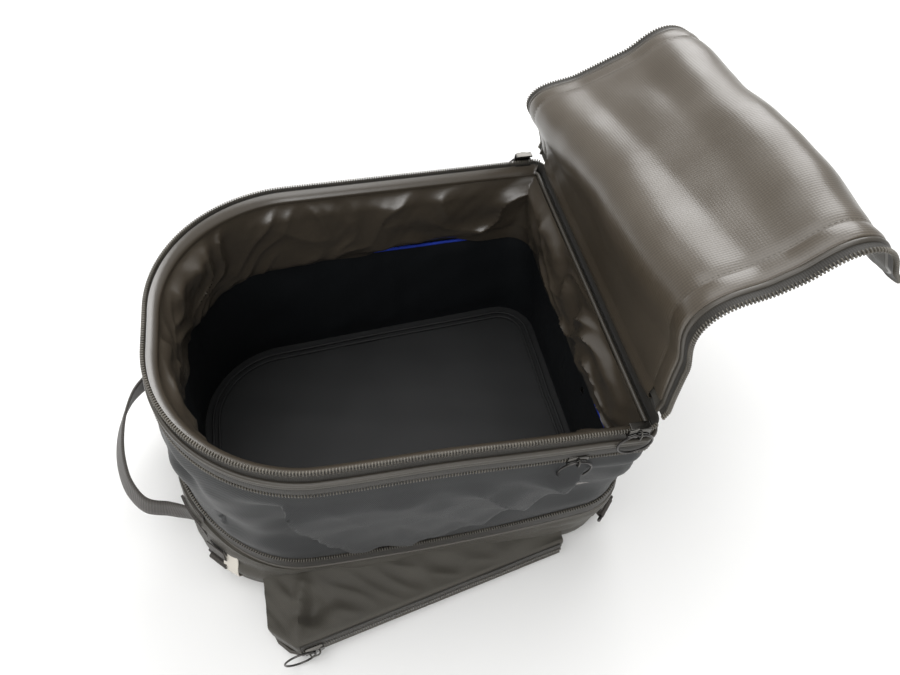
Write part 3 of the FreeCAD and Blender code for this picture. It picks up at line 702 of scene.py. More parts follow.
def stiff_top(points, extra=0.0):
    """Top height of the stiff wall: low along the slumped near side."""
    x, y = points[..., 0], points[..., 1]
    tall = SEAM_MIDDLE - tan(TILT) * np.clip(x, WAIST[0], WAIST[1]) + 18.0 + extra
    low = seam_z(x, np.full_like(x, -1.0)) - 6.0
    return tall + (low - tall) * ease(-y, 96.0, 108.0)


def wall_grid(low, top_of, inset, rows, places=PLACES, push=None):
    """Grid up the lower wall, from low to a top that depends on the place."""
    z = np.full(places.shape, SEAM_MIDDLE)
    for _ in range(4):
        points, _ = lower_at(places, inset, z)
        z = top_of(points)
    grid = []
    for share in np.linspace(0, 1, rows):
        height = low + (z - low) * share
        points, normals = lower_at(places, inset, height)
        if push is not None:
            points = points + normals * push(points, share)[..., None]
        grid.append(points)
    return np.array(grid)


def around_of(points):
    """Rough distance round the bag of points, for waves that run on through the corners."""
    return np.arctan2(points[..., 1], points[..., 0]) * 150.0


def stiff_push(points, share):
    along = around_of(points)
    wave = -0.9 * (1 + ripples(along, points[..., 2], 11, 70, 22))
    return wave * ease(share, 0.0, 0.15) * ease(1 - share, 0, 0.1)


stiff = wall_grid(6.7, stiff_top, 7.4, 22, push=stiff_push)
piece = thick_grid("stiffener", stiff[::-1], -2.8, STIFF, closed=True)
settle(piece, "bag", "coated_lining", "stiffener")

edge_places = PLACES
edge_points, edge_out = lower_at(edge_places, 6.0, np.full(edge_places.shape, 110.0))
for _ in range(3):
    edge_points, edge_out = lower_at(edge_places, 6.0, stiff_top(edge_points))
high = edge_points[:, 1] > -94.0
start = int(np.argmax(high & ~np.roll(high, 1)))
order = (np.arange(high.sum()) + start) % LOOP_STEPS
edge_path, edge_outs = edge_points[order], edge_out[order]
wander = 0.5 * ripples(np.arange(len(order)), 0, 8, 40, 12)
edge_path = edge_path + np.array([0, 0, 0.9]) + edge_outs * wander[:, None]
foam_profile = [(-1.3, -0.8), (1.3, -0.8), (1.4, 0.4), (0.7, 1.1), (-0.7, 1.1), (-1.4, 0.4)]
FOAM_BARE = ((edge_path[:, 1] > 60) & (edge_path[:, 0] > 5) & (edge_path[:, 0] < 112),
             (edge_path[:, 0] > 150) & (edge_path[:, 1] > -92) & (edge_path[:, 1] < -30))
bare = FOAM_BARE[0] | FOAM_BARE[1]
strips = []
for shown, finish in ((True, FOAM), (False, STIFF)):
    mask = bare if shown else ~bare
    starts = np.flatnonzero(mask & ~np.concatenate([[False], mask[:-1]]))
    ends = np.flatnonzero(mask & ~np.concatenate([mask[1:], [False]])) + 1
    pieces = [sweep("core_edge", edge_path[i:j + 1], edge_outs[i:j + 1], [0, 0, 1], foam_profile, finish,
                    closed=False)
              for i, j in zip(starts, ends) if j - i > 2]
    strips.append(join("core_edge", pieces) if len(pieces) > 1 else pieces[0])
strips[0].name = "stiffener_core_edge"
settle(strips[0], "bag", "blue_foam", "stiffener_core_edge")
strips[1].name = "stiffener_binding"
settle(strips[1], "bag", "coated_lining")


def dome(centre, out, radius, high, material, name):
    """Rivet head: a shallow dome on a flange."""
    out = np.asarray(out, float)
    side = np.array([-out[1], out[0], 0.0])
    up = np.cross(out, side)
    angle = np.linspace(0, 2 * pi, 20, endpoint=False)
    circle = np.cos(angle)[:, None] * side + np.sin(angle)[:, None] * up
    rings = []
    for spread, lift in ((1.0, -0.4), (1.0, 0.25), (0.92, 0.4), (0.72, 0.5), (0.6, 0.75), (0.4, 0.95),
                         (0.15, 1.0)):
        rings.append(np.asarray(centre) + circle * radius * spread + out * lift * high)
    return ring_mesh(name, np.array(rings), material, closed=False)


heads = []
for y, z in ((-2.0, 65.0), (-43.0, 90.0)):
    x = 178.5 + (173.0 - 178.5) * z / WAIST_Z - 7.6
    heads.append(dome((x, y, z), (-1.0, 0.0, 0.0), 3.4, 1.6, METAL, "rivet_head"))
settle(join("stiffener_rivets", heads), "bag", "dark_metal", "stiffener_rivets")


# ---------------------------------------------------------------- lower shell and its zip

def near_share(points):
    """How far a point is along the near side's slack stretch."""
    x, y = points[..., 0], points[..., 1]
    return ease(-y, 60.0, 110.0) * ease(x, -165.0, -120.0) * ease(-x, -170.0, -120.0)


def shell_push(points, share):
    along = around_of(points)
    wave = ripples(along, points[..., 2] * 1.6, 21, 95, 28)
    fine = ripples(along * 1.4, points[..., 2] * 2.0, 22, 30, 12)
    hold = ease(share, 0.0, 0.18) * ease(1 - share, 0.0, 0.12)
    return (0.6 + 1.3 * wave + 0.45 * fine + 1.5 * near_share(points) * (0.6 + wave)) * hold


shell = wall_grid(2.5, lambda p: seam_z(p[..., 0], p[..., 1]) - 15.8, 0.0, 26, push=shell_push)
piece = thick_grid("lower_shell", shell, 2.4, OUTER, closed=True)
settle(piece, "bag", "outer_fabric", "lower_shell")

base_points, base_out = lower_at(PLACES, 0.0, np.full(PLACES.shape, 3.6))
piece = sweep("base_seam", base_points, base_out, [0, 0, 1], round_profile(1.5, 10), PIPING)
settle(piece, "bag", "piping")

seam_points, seam_out = seam_at(PLACES, 0.0, 0.0)
tangent = np.roll(seam_points, -1, 0) - np.roll(seam_points, 1, 0)
tangent /= np.linalg.norm(tangent, axis=1, keepdims=True)
seam_up = np.cross(seam_out, tangent)
seam_up *= np.sign(seam_up[:, 2:])
seam_wave = 0.5 * ripples(np.arange(LOOP_STEPS), 0, 31, 90, 30)
seam_path = seam_points + seam_out * seam_wave[:, None]
settle(sweep("lower_zip_tape", seam_path, seam_out, seam_up, strip_profile(0.2, 1.2, -13.2, -1.6, 6, 0.5),
             TAPE),
       "bag", "zip_tape", "lower_zip_tape")
settle(sweep("shell_piping", seam_path, seam_out, seam_up, round_profile(1.5, 12, 0.2, -14.3), PIPING),
       "bag", "piping", "shell_piping")
settle(sweep("shell_band", seam_path, seam_out, seam_up, strip_profile(1.0, 1.2, -24.5, -15.4, 6, 0.7),
             OUTER),
       "bag", "outer_fabric")
teeth_path = seam_path - seam_out * 1.0 - seam_up * 1.5
settle(row("teeth", "lower_zip_teeth", teeth_path, seam_up, 2.0, (3.6, 1.15, 3.3), COIL_WITH_PAINTED_SHINE),
       "bag", "zip_coil", "lower_zip_coil")
settle(row("stitches", "lower_zip_stitches", seam_path + seam_out * 0.35 - seam_up * 4.4, tangent,
           SEAM_PITCH, SEAM_STITCH,
           THREAD), "bag", "outer_fabric")


# ---------------------------------------------------------------- rim

def rim_band(name, inset, profile, material, slot, *nodes):
    points, out = rim_at(PLACES, inset, 0.0)
    wave = 0.7 * ripples(np.arange(LOOP_STEPS), 0, 41, 110, 40) * near_share(points)
    return settle(sweep(name, points + out * wave[:, None], out, RIM_UP, profile, material), "rim", slot,
                  *nodes)


rim_band("main_zip_tape", 0.0, strip_profile(-1.4, 1.2, -12.3, -1.4, 7, -1.2), TAPE, "zip_tape",
         "main_zip_tape")
rim_band("rim_piping", 0.0, round_profile(1.8, 12, -0.3, -13.4), PIPING, "piping", "rim_piping")
rim_band("rim_band", 0.0, strip_profile(0.2, 2.0, -20.5, -15.0, 5, 0.6), OUTER, "outer_fabric", "rim_band")
rim_band("upper_zip_tape", 0.0, strip_profile(0.5, 1.8, -27.4, -20.0, 5, 0.5), TAPE, "zip_tape",
         "upper_zip_tape")
FACING = [(-2.0, -3.4), (-5.5, -4.6), (-9.4, -8.2), (-10.2, -10.6), (-9.2, -12.4), (-6.0, -9.0),
          (-2.6, -6.4)]
rim_band("inner_lip", 0.0, round_profile(1.7, 12, -7.9, -9.6), PIPING, "piping", "inner_lip")
rim_points, rim_out = rim_at(PLACES, 2.0, -1.4)
open_edge = rim_points[:, 0] < 168.0
start = int(np.argmax(open_edge & ~np.roll(open_edge, 1)))
order = (np.arange(open_edge.sum()) + start) % LOOP_STEPS
wave = 0.7 * ripples(np.arange(LOOP_STEPS), 0, 41, 110, 40) * near_share(rim_points)
teeth_path = (rim_points + rim_out * wave[:, None])[order]
settle(row("teeth", "main_zip_teeth", teeth_path, RIM_UP, 2.0, (3.7, 1.15, 3.4), COIL_WITH_PAINTED_SHINE, closed=False),
       "rim", "zip_coil", "main_zip_coil")
facing_points, facing_out = rim_at(PLACES, 0.0, 0.0)
facing_path = (facing_points + facing_out * wave[:, None])[order]
settle(sweep("rim_facing", facing_path, facing_out[order], RIM_UP, FACING, SATIN, closed=False), "rim",
       "satin_lining")
upper_points, upper_out = rim_at(PLACES, -0.6, -27.6)
upper_path = upper_points + upper_out * wave[:, None]
settle(row("teeth", "upper_zip_teeth", upper_path, -RIM_UP, 2.0, (3.5, 1.15, 3.2), COIL_WITH_PAINTED_SHINE),
       "rim", "zip_coil", "upper_zip_coil")
for name, inset, low in (("rim_stitches", -0.35, -16.4), ("tape_stitches", 1.1, -4.2)):
    points, out = rim_at(PLACES, inset, low)
    run = np.roll(points, -1, 0) - np.roll(points, 1, 0)
    run /= np.linalg.norm(run, axis=1, keepdims=True)
    settle(row("stitches", name, points + out * wave[:, None], run, SEAM_PITCH, SEAM_STITCH, THREAD),
           "rim", "outer_fabric")


# ---------------------------------------------------------------- gusset and upper lining

def tube_grid(low_of, low_inset, high_inset, top, rows, push):
    """Grid up the soft tube from the lower wall to the rim."""
    bottom, _ = lower_at(PLACES, low_inset, np.full(PLACES.shape, 100.0))
    for _ in range(4):
        bottom, _ = lower_at(PLACES, low_inset, low_of(bottom))
    bend_z = np.minimum(np.maximum(bottom[:, 2], 122.0), 145.0)
    bend, _ = lower_at(PLACES, low_inset, bend_z)
    straight, rim_normals = rim_at(PLACES, high_inset, -35.0)
    head, _ = rim_at(PLACES, high_inset, top)
    stops = [bottom, bend, straight, head]
    lengths = [np.linalg.norm(b - a, axis=1).mean() for a, b in zip(stops, stops[1:])]
    total = np.concatenate([[0], np.cumsum(lengths)]) / sum(lengths)
    grid = []
    for share in np.linspace(0, 1, rows):
        span = min(int(np.searchsorted(total, share, side="right")) - 1, 2)
        part = (share - total[span]) / (total[span + 1] - total[span])
        points = stops[span] + (stops[span + 1] - stops[span]) * part
        grid.append(points + rim_normals * push(points, share)[:, None])
    return np.array(grid)


FOLD_LINE = [(-84.0, 168.0), (-70.0, 120.0), (-48.0, 69.0), (-10.0, 70.0), (36.0, 86.0), (85.0, 114.0),
             (129.0, 158.0)]


def gusset_push(points, share):
    x, z = points[:, 0], points[:, 2]
    along = around_of(points)
    side = near_share(points)
    line = np.where(x < -48.0, through([(p[0], p[1]) for p in FOLD_LINE[:3]], x), through(FOLD_LINE[2:], x))
    line = line + 2.0 * ripples(x, 0, 54, 130, 60)
    above = ease(x, -90.0, -80.0) * ease(-x, -135.0, -120.0) * ease(z - line, -1.0, 1.2)
    under_rim = ease(1 - share, 0.24, 0.36)
    flap = above * (9.0 - 0.05 * np.clip(z - line, 0, 90)) * side
    tuck = -7.0 * (1 - above) * side * ease(share, 0.05, 0.2) * ease(x, -118.0, -85.0)
    second = 4.5 * np.abs(ripples(x + 0.8 * z, z - 0.5 * x, 55, 130, 70, 4)) * side * above
    wave = 1.6 * ripples(along + 0.5 * z, z * 1.3, 51, 70, 26)
    slack = (1.5 * wave - 1.0) * (1 - side)
    hold = ease(share, 0.03, 0.13) * under_rim
    belly = 4.5 * ease(z, 118.0, 140.0) * ease(1 - share, 0.12, 0.3)
    guard = ease(stiff_top(points) + 12.0 - z, 0.0, 8.0)
    return np.maximum((flap + tuck - second + slack + 0.9 * wave) * hold + belly, 0.4 - 12.0 * (1 - guard))


def gusset_low(points):
    return seam_z(points[..., 0], points[..., 1]) - 4.0


gusset = tube_grid(gusset_low, 2.8, 4.0, -17.0, 72, gusset_push)
gusset_piece = thick_grid("expansion_gusset", gusset, 0.9, TWILL, closed=True)
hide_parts("expansion_gusset")
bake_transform(gusset_piece)


def lining_push(points, share):
    x, z = points[:, 0], points[:, 2]
    along = around_of(points)
    loose = 0.6 + 0.8 * ease(x, 60.0, 150.0) + 0.3 * ease(-x, 60.0, 140.0)
    drift = 16.0 * ripples(along, z, 67, 90, 50)
    wide = ripples(along + drift, z * 0.6, 61, 120, 50)
    slant = 1 - 2 * np.abs(ripples(along + z * 0.7 + drift, z * 0.5, 63, 85, 40, 5)) ** 0.6
    back = 1 - 2 * np.abs(ripples(along - z * 0.9 - drift, z * 0.4, 64, 70, 36, 5)) ** 0.7
    patchy = ease(ripples(along, z, 68, 120, 60), -0.6, 0.6)
    fine = ripples(along * 1.1 + z * 0.7, z * 0.5, 62, 24, 13)
    hold = ease(share, -0.05, 0.16) * ease(1 - share, -0.02, 0.2)
    creases = 3.6 * wide + 3.8 * slant * patchy + 3.2 * back * (1 - patchy) + 0.3 * fine
    return -(5.0 + loose * creases) * hold


def lining_low(points):
    x, y = points[..., 0], points[..., 1]
    level = SEAM_MIDDLE - tan(TILT) * np.clip(x, WAIST[0], WAIST[1]) + 18.5
    far_gap = ease(y, 90.0, 110.0) * ease(x, 0.0, 30.0) * ease(120.0 - x, 0.0, 40.0)
    side_gap = ease(x, 150.0, 165.0) * ease(-y, 25.0, 60.0) * ease(y, -118.0, -90.0)
    return level + 1.2 * ripples(around_of(points), 0, 66, 70, 30) + 7.5 * far_gap + 9.0 * side_gap


lining = tube_grid(lining_low, 9.0, 9.6, -11.5, 56, lining_push)
lining_piece = thick_grid("upper_lining", lining[::-1], -0.8, SATIN, closed=True)
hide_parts("upper_lining")
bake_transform(lining_piece)


# ---------------------------------------------------------------- lid

def turned(points, pivot, axis, angle):
    """Points turned about an axis through a pivot; the angle may differ from point to point."""
    axis = np.asarray(axis, float)
    reach = points - pivot
    along = (reach @ axis)[..., None] * axis
    across = reach - along
    side = np.cross(axis, across)
    angle = np.asarray(angle)[..., None]
    return pivot + along + across * np.cos(angle) + side * np.sin(angle)


def fold_frame(index):
    """Pivot and axis of a fold on the shut lid, and its direction across the fold."""
    skew = radians(FOLD_SKEW[index])
    return (np.array([FOLD_X[index], 0.0, LID_PIVOT]), np.array([sin(skew), cos(skew), 0.0]),
            np.array([-cos(skew), sin(skew), 0.0]))


HINGE_AT = np.array([HINGE_X, 0.0, LID_PIVOT])
Y_DIRECTION = np.array([0.0, 1.0, 0.0])
LEAN = (9.0, 9.0)
FAR_LEAN = 20.0
SAG = (-6.0, -12.0)
CURL = (-22.0, 14.0)


def lid_place(points):
    """Carry points of the shut lid, in the rim's level frame, to the lid thrown open."""
    shut = np.asarray(points, float)
    moved = shut
    for index in (1, 0):
        pivot, axis, across = fold_frame(index)
        beyond = (shut - pivot) @ across
        soft = FOLD_SOFT[index]
        moved = turned(moved, pivot, axis, radians(FOLD_OPEN) * ease(beyond, -soft, soft))
    moved = turned(moved, HINGE_AT, Y_DIRECTION,
                   radians(HINGE_OPEN) * ease(HINGE_X - shut[..., 0], -6.0, 16.0))
    moved = on_rim(moved)
    lean = -shut[..., 1] / 135.0 * ease(HINGE_X - shut[..., 0], 0.0, 110.0)
    near_slider = np.exp(-(((shut[..., 0] + 52) ** 2 + (shut[..., 1] + 88.5) ** 2) / 30.0**2))
    lean = lean * (1 - 0.9 * near_slider)
    moved[..., 0] += LEAN[0] * lean
    moved[..., 2] += np.where(lean < 0, FAR_LEAN, LEAN[1]) * lean
    sag = ease(HINGE_X - shut[..., 0], 60.0, 330.0) * (1 - 0.9 * near_slider)
    moved[..., 0] += SAG[0] * sag
    moved[..., 2] += SAG[1] * sag
    curl = ease(HINGE_X - shut[..., 0], 190.0, 330.0) * ease(-shut[..., 1], -20.0, 110.0)
    curl = curl * (1 - 0.9 * near_slider)
    moved[..., 0] += CURL[0] * curl
    moved[..., 2] += CURL[1] * curl
    return moved


def lid_wave(x, y):
    """How far the open lid's cloth stands off its own plane."""
    far_in = ease(HINGE_X - x, 12.0, 60.0)
    broad = ripples(x, y, 71, 190, 90, 6)
    small = ripples(x * 1.2, y, 72, 60, 30, 6)
    return (1.5 * broad + 0.35 * small) * far_in * (0.35 + 0.65 * ease(120.0 - np.abs(y), 0.0, 50.0))


def lid_half(x, inset):
    """Half width of the lid at x."""
    flat, _ = loop_at(RIM, inset, np.linspace(1.0, 5.0, 1600))
    keep = flat[:, 1] <= 0
    order = np.argsort(flat[keep, 0])
    return np.interp(x, flat[keep, 0][order], -flat[keep, 1][order])


LID_CUTS = (9999.0, HINGE_X - 45.0, HINGE_X - 144.5, -9999.0)


def lid_rows(section, inset):
    """x of each row of a lid panel's section, from the hinge to the tip."""
    ends = [HINGE_X + 1.0, LID_CUTS[1], LID_CUTS[2], RIM[0] + inset]
    first, last = ends[section], ends[section + 1]
    if section < 2:
        return np.linspace(first, last, max(int(abs(first - last) / 3.5), 3))
    radius = RIM[4] - inset
    curve_from = last + radius
    straight = np.linspace(first, curve_from, 20)[:-1]
    angle = np.linspace(pi / 2, 0, 44)
    return np.concatenate([straight, last + radius * (1 - np.cos(angle))])


def lid_panel(name, section, inset, lift, thickness, material, columns=84):
    """Section of one of the lid's cloths, edge to edge."""
    x = lid_rows(section, inset)
    half = lid_half(x, inset)
    share = np.sin(np.linspace(-pi / 2, pi / 2, columns)) * 0.35 + np.linspace(-1, 1, columns) * 0.65
    grid_x = np.repeat(x[:, None], columns, 1)
    grid_y = half[:, None] * share[None]
    wave = lid_wave(grid_x, grid_y)
    edge = ease(half[:, None] - np.abs(grid_y), 0.0, 10.0)
    grid_z = LID_PIVOT + lift + wave
    belly = -1.0 * edge if lift < 0 else 1.0 * edge
    shut = np.stack([grid_x, grid_y, grid_z + belly], -1)
    cloth = np.stack([grid_x, grid_y], -1)
    return thick_grid(name, lid_place(shut), thickness, material, cloth=cloth)


def lid_runs(section):
    """Places round the rim's outline that a section of the lid's edge takes: one run for each side."""
    corner_x = loop_at(RIM, 0, np.array([2.0, 3.0 - 1e-9]))[0][:, 0]

    def place_of(x):
        return 2.0 + (corner_x[0] - x) / (corner_x[0] - corner_x[1])

    if section == 0:
        near = np.linspace(2.0, place_of(LID_CUTS[1]), 16)
    elif section == 1:
        near = np.linspace(place_of(LID_CUTS[1]), place_of(LID_CUTS[2]), 40)
    else:
        tail = PLACES[(PLACES > place_of(LID_CUTS[2])) & (PLACES < 9 - place_of(LID_CUTS[2]))]
        return [np.concatenate([[place_of(LID_CUTS[2])], tail, [9 - place_of(LID_CUTS[2])]])]
    return [near, (9 - near)[::-1]]


def lid_edge(places, inset, lift, curl=0.0):
    """Points along the lid's edge, with directions outwards and away from the lining."""
    flat, out = loop_at(RIM, inset, places)
    x, y = flat[:, 0], flat[:, 1]
    z = LID_PIVOT + lift + lid_wave(x, y) + curl
    base = np.stack([x, y, z], -1)
    outs = np.concatenate([out, np.zeros((len(x), 1))], -1)
    here = lid_place(base)
    beyond = lid_place(base + outs) - here
    above = lid_place(base + np.array([0, 0, 1.0])) - here
    beyond /= np.linalg.norm(beyond, axis=1, keepdims=True)
    above /= np.linalg.norm(above, axis=1, keepdims=True)
    return here, beyond, above


def lid_strip(name, section, inset, lift, profile, material):
    """Band along the lid's edge in one section."""
    pieces = []
    for places in lid_runs(section):
        path, out, above = lid_edge(places, inset, lift)
        pieces.append(sweep(name, path, out, above, profile, material, closed=False))
    return pieces[0] if len(pieces) == 1 else join(name, pieces)


def lid_row(kind, name, section, inset, lift, pitch, size, material, outwards=True):
    """Teeth or stitches along the lid's edge in one section."""
    pieces = []
    for places in lid_runs(section):
        path, out, _ = lid_edge(places, inset, lift)
        run = unit_run(path)
        pieces.append(row(kind, name, path, out if outwards else run, pitch, size, material, closed=False))
    return pieces[0] if len(pieces) == 1 else join(name, pieces)


def fold_ends(index, soft):
    """Start and end of a fold's bend, square to its axis, on the open lid."""
    pivot, _, across = fold_frame(index)
    return [lid_place(pivot + across * side * soft) * MM for side in (-1, 1)]


LID_JOINTS = [("rim", "lid_a", lid_place(np.array([HINGE_X + 6, 0, LID_PIVOT])) * MM,
               lid_place(np.array([HINGE_X - 16, 0, LID_PIVOT])) * MM),
              ("lid_a", "lid_b", *fold_ends(0, FOLD_SOFT[0])),
              ("lid_b", "lid_c", *fold_ends(1, FOLD_SOFT[1]))]


def fold_over(piece, section, slot, *nodes):
    """Bake a piece of the lid where it lies on the open lid and hide the imported nodes it stands for;
    section is not used.
    """
    if nodes:
        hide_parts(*nodes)
    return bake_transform(piece)


EDGE_BAND = [(6.0, -2.2), (6.6, -1.2), (5.4, -0.2), (-7.5, -0.2), (-8.5, -0.9), (-7.0, -1.9), (-2.0, -2.6),
             (3.0, -2.9)]
ZIP_STRIP = [(4.4, -0.6), (4.4, 0.6), (-4.6, 0.6), (-4.6, -0.6)]
lid_sheets = []
for section, letter in enumerate("abc"):
    panel = lid_panel("lid_lining_" + letter, section, 20.0, -1.1, 0.9, COATED)
    fold_over(panel, section, "coated_lining", "lid_lining_" + letter)
    cover = lid_panel("lid_cover_" + letter, section, 8.5, 1.6, 1.6, OUTER)
    fold_over(cover, section, "outer_fabric", "lid_cover_" + letter)
    lid_sheets += [panel, cover]
    hem = lid_strip("lid_hem_" + letter, section, 16.5, 0.0, EDGE_BAND, COATED)
    fold_over(hem, section, "coated_lining")
    cord = lid_strip("lid_piping_" + letter, section, 8.6, -0.4, round_profile(1.9, 12), PIPING)
    fold_over(cord, section, "piping")
    strip = lid_strip("lid_zip_tape_" + letter, section, 5.4, 0.0, ZIP_STRIP, TAPE)
    fold_over(strip, section, "zip_tape", "lid_zip_" + letter)
    teeth = lid_row("teeth", "lid_zip_teeth_" + letter, section, 1.4, -0.2, 2.0, (3.6, 1.15, 3.0), COIL_WITH_PAINTED_SHINE)
    fold_over(teeth, section, "zip_coil")
    sewn = lid_row("stitches", "lid_stitches_" + letter, section, 23.4, -2.2, 3.0, (2.2, 0.5, 0.5), THREAD,
                   False)
    fold_over(sewn, section, "outer_fabric")

# hinge flap: the lid's cover runs down behind the rim
flap_y = np.linspace(-126.0, 126.0, 90)
flap = []
for share in np.linspace(0, 1, 14):
    low = np.stack([np.full_like(flap_y, 174.2), flap_y, np.full_like(flap_y, -11.0)], -1)
    top = np.stack([np.full_like(flap_y, 171.5), flap_y, np.full_like(flap_y, 5.6)], -1)
    flap.append(on_rim(low + (top - low) * share + np.array([0.6, 0, 0]) * sin(pi * share)))
piece = thick_grid("hinge_strip", np.array(flap), 1.2, OUTER)
settle(piece, "rim", "outer_fabric", "hinge_strip")

# pocket on the lid's outer face
LID_POCKET_X = (-150.0, -58.0)
LID_POCKET_INSET = 24.0
LID_COIL_X = -52.0
LID_COIL_HALF = 96.0
px = np.linspace(*LID_POCKET_X, 30)
half = lid_half(px, LID_POCKET_INSET)
share = np.linspace(-1, 1, 60)
gx, gy = np.repeat(px[:, None], 60, 1), half[:, None] * share[None]
rise_sides = ease(1 - np.abs(share), 0, 0.08)[None]
rise_ends = ease(px - px[0], -0.1, 8.0)[:, None] * ease(px[-1] - px, -0.1, 8.0)[:, None]
inside = rise_sides * rise_ends
gz = LID_PIVOT + 1.8 + lid_wave(gx, gy) + 2.6 * inside + 0.5 * inside * ripples(gx, gy, 81, 60, 25)
pouch = thick_grid("lid_pocket", lid_place(np.stack([gx, gy, gz], -1)), 1.2, OUTER,
                   cloth=np.stack([gx, gy], -1))
settle(pouch, "lid_c", "outer_fabric", "lid_pocket")
zy = np.linspace(-LID_COIL_HALF, LID_COIL_HALF, 80)
coil_x = np.full_like(zy, LID_COIL_X)
flat = np.stack([coil_x, zy, LID_PIVOT + 2.0 + lid_wave(coil_x, zy)], -1)
path = lid_place(flat)
side = lid_place(flat + np.array([1.0, 0, 0])) - path
above = lid_place(flat + np.array([0, 0, 1.0])) - path
tape = sweep("lid_pocket_tape", path, side, above, [(-9, -0.3), (9, -0.3), (9, 0.6), (-9, 0.6)], TAPE,
             closed=False)
settle(tape, "lid_c", "zip_tape", "lid_pocket_coil")
rows_made = []
for turn in (-1, 1):
    row_path = path + side * turn * -1.1 + above * 1.0
    rows_made.append(row("teeth", "lid_pocket_row", row_path, side * turn, 2.0, (2.6, 1.0, 1.7), COIL_WITH_PAINTED_SHINE,
                         closed=False))
settle(join("lid_pocket_teeth", rows_made), "lid_c", "zip_coil")


# ---------------------------------------------------------------- side pockets

POCKET_DEEP = np.array([-101.5, -183.0])
POCKET_SHALLOW = np.array([126.5, -146.0])
POCKET_NOSE = np.array([-122.0, -165.0])


def wall_y(x, z):
    """y of the near lower wall."""
    level = tuple(a + (b - a) * z / WAIST_Z for a, b in zip(BASE, WAIST))
    flat, _ = loop_at(level, 0, np.linspace(1.0, 4.0, 900))
    order = np.argsort(flat[:, 0])
    return np.interp(x, flat[order, 0], flat[order, 1])


def pocket_outer(x):
    """y of the near pocket's outer edge."""
    xs = [POCKET_NOSE[0], POCKET_DEEP[0], POCKET_SHALLOW[0]]
    return np.interp(x, xs, [POCKET_NOSE[1], POCKET_DEEP[1], POCKET_SHALLOW[1]])


POCKET_TOP = 34.0
POCKET_CORNER = 23.5
POCKET_CORNER_IN = 2.4
POCKET_CORNER_UP = 1.8


def pocket_creases(x, t, deep):
    """How far the top stands off its slope at x, where t runs from its outer edge to the wall."""
    arch = np.sin(pi * t)
    sag = np.sin(pi * np.clip(t, 0, 1)) * min(deep / 60.0, 1.0)
    dent = 10.0 * np.exp(-(((x + 88) / 15.0) ** 2)) * np.exp(-(((t - 0.42) / 0.16) ** 2))
    ridge = 7.5 * np.exp(-(((x + 102 - 14 * t) / 5.0) ** 2)) * arch
    wave = 2.2 * ripples(np.full_like(t, x) + 0.6 * t * deep, t * deep, 91, 70, 25) * arch
    wave = wave + 2.4 * (0.5 - np.abs(ripples(x + 1.1 * t * deep, t * deep, 92, 46, 22, 4))) * arch
    return -3.0 * sag - dent * min(deep / 50.0, 1.0) + ridge + wave


def pocket_section(x):
    """Closed outline of the near pocket at x."""
    low, high, outer = wall_y(x, 0.5), wall_y(x, POCKET_TOP), pocket_outer(x)
    bottom = np.stack([low + (outer + 2.5 - low) * np.linspace(0, 1, 10), np.full(10, 0.7)], -1)
    face = np.stack([np.full(7, outer), np.linspace(2.5, POCKET_CORNER - 1.0, 7)], -1)
    top_from = np.array([outer + POCKET_CORNER_IN, POCKET_CORNER + POCKET_CORNER_UP])
    edge = np.array([[outer + 0.8, POCKET_CORNER + 0.8], top_from])
    t = np.linspace(0, 1, 26)[1:]
    slope = POCKET_CORNER + POCKET_CORNER_UP + (POCKET_TOP - POCKET_CORNER - POCKET_CORNER_UP) * t
    top = np.stack([outer + POCKET_CORNER_IN + (high - outer - POCKET_CORNER_IN) * t, slope], -1)
    top[:, 1] += pocket_creases(x, t, high - outer)
    back = np.stack([np.full(5, high), np.linspace(30.0, 4.0, 5)], -1)
    section = np.concatenate([bottom, face, edge, top, back])
    centre = section.mean(0)
    shrink = 1.0 - 0.05 * ease(-x, 118.0, 122.0) - 0.05 * ease(x, 122.0, 126.4)
    section = centre + (section - centre) * shrink
    section[:, 0] = np.minimum(section[:, 0], wall_y(x, 20.0) + 1.0)
    return np.stack([np.full(len(section), x), section[:, 0], section[:, 1]], -1)


def pocket_end(first):
    """Dished and creased end wall, as rings that shrink inside the first section."""
    centre = first.mean(0)
    rings = []
    for shrink in (0.1, 0.3, 0.5, 0.7, 0.86):
        ring = centre + (first - centre) * shrink
        fold = 4.0 * np.exp(-(((ring[:, 1] - centre[1]) * 0.8 + (ring[:, 2] - 17.0)) / 5.0) ** 2)
        ring[:, 0] += 2.5 * (1 - shrink) - fold * (1 - shrink) * 0.8
        rings.append(ring)
    return rings


def pocket_body(side):
    """Slack wedge of a pocket, from its deep end to its shallow one."""
    xs = np.concatenate([[-122.0, -121.0, -119.0], np.linspace(-116.0, 118.0, 80), [122.0, 125.0, 126.4]])
    sections = [pocket_section(x) for x in xs]
    grid = np.array(pocket_end(sections[0]) + sections)
    grid[..., 1] *= -side
    return grid


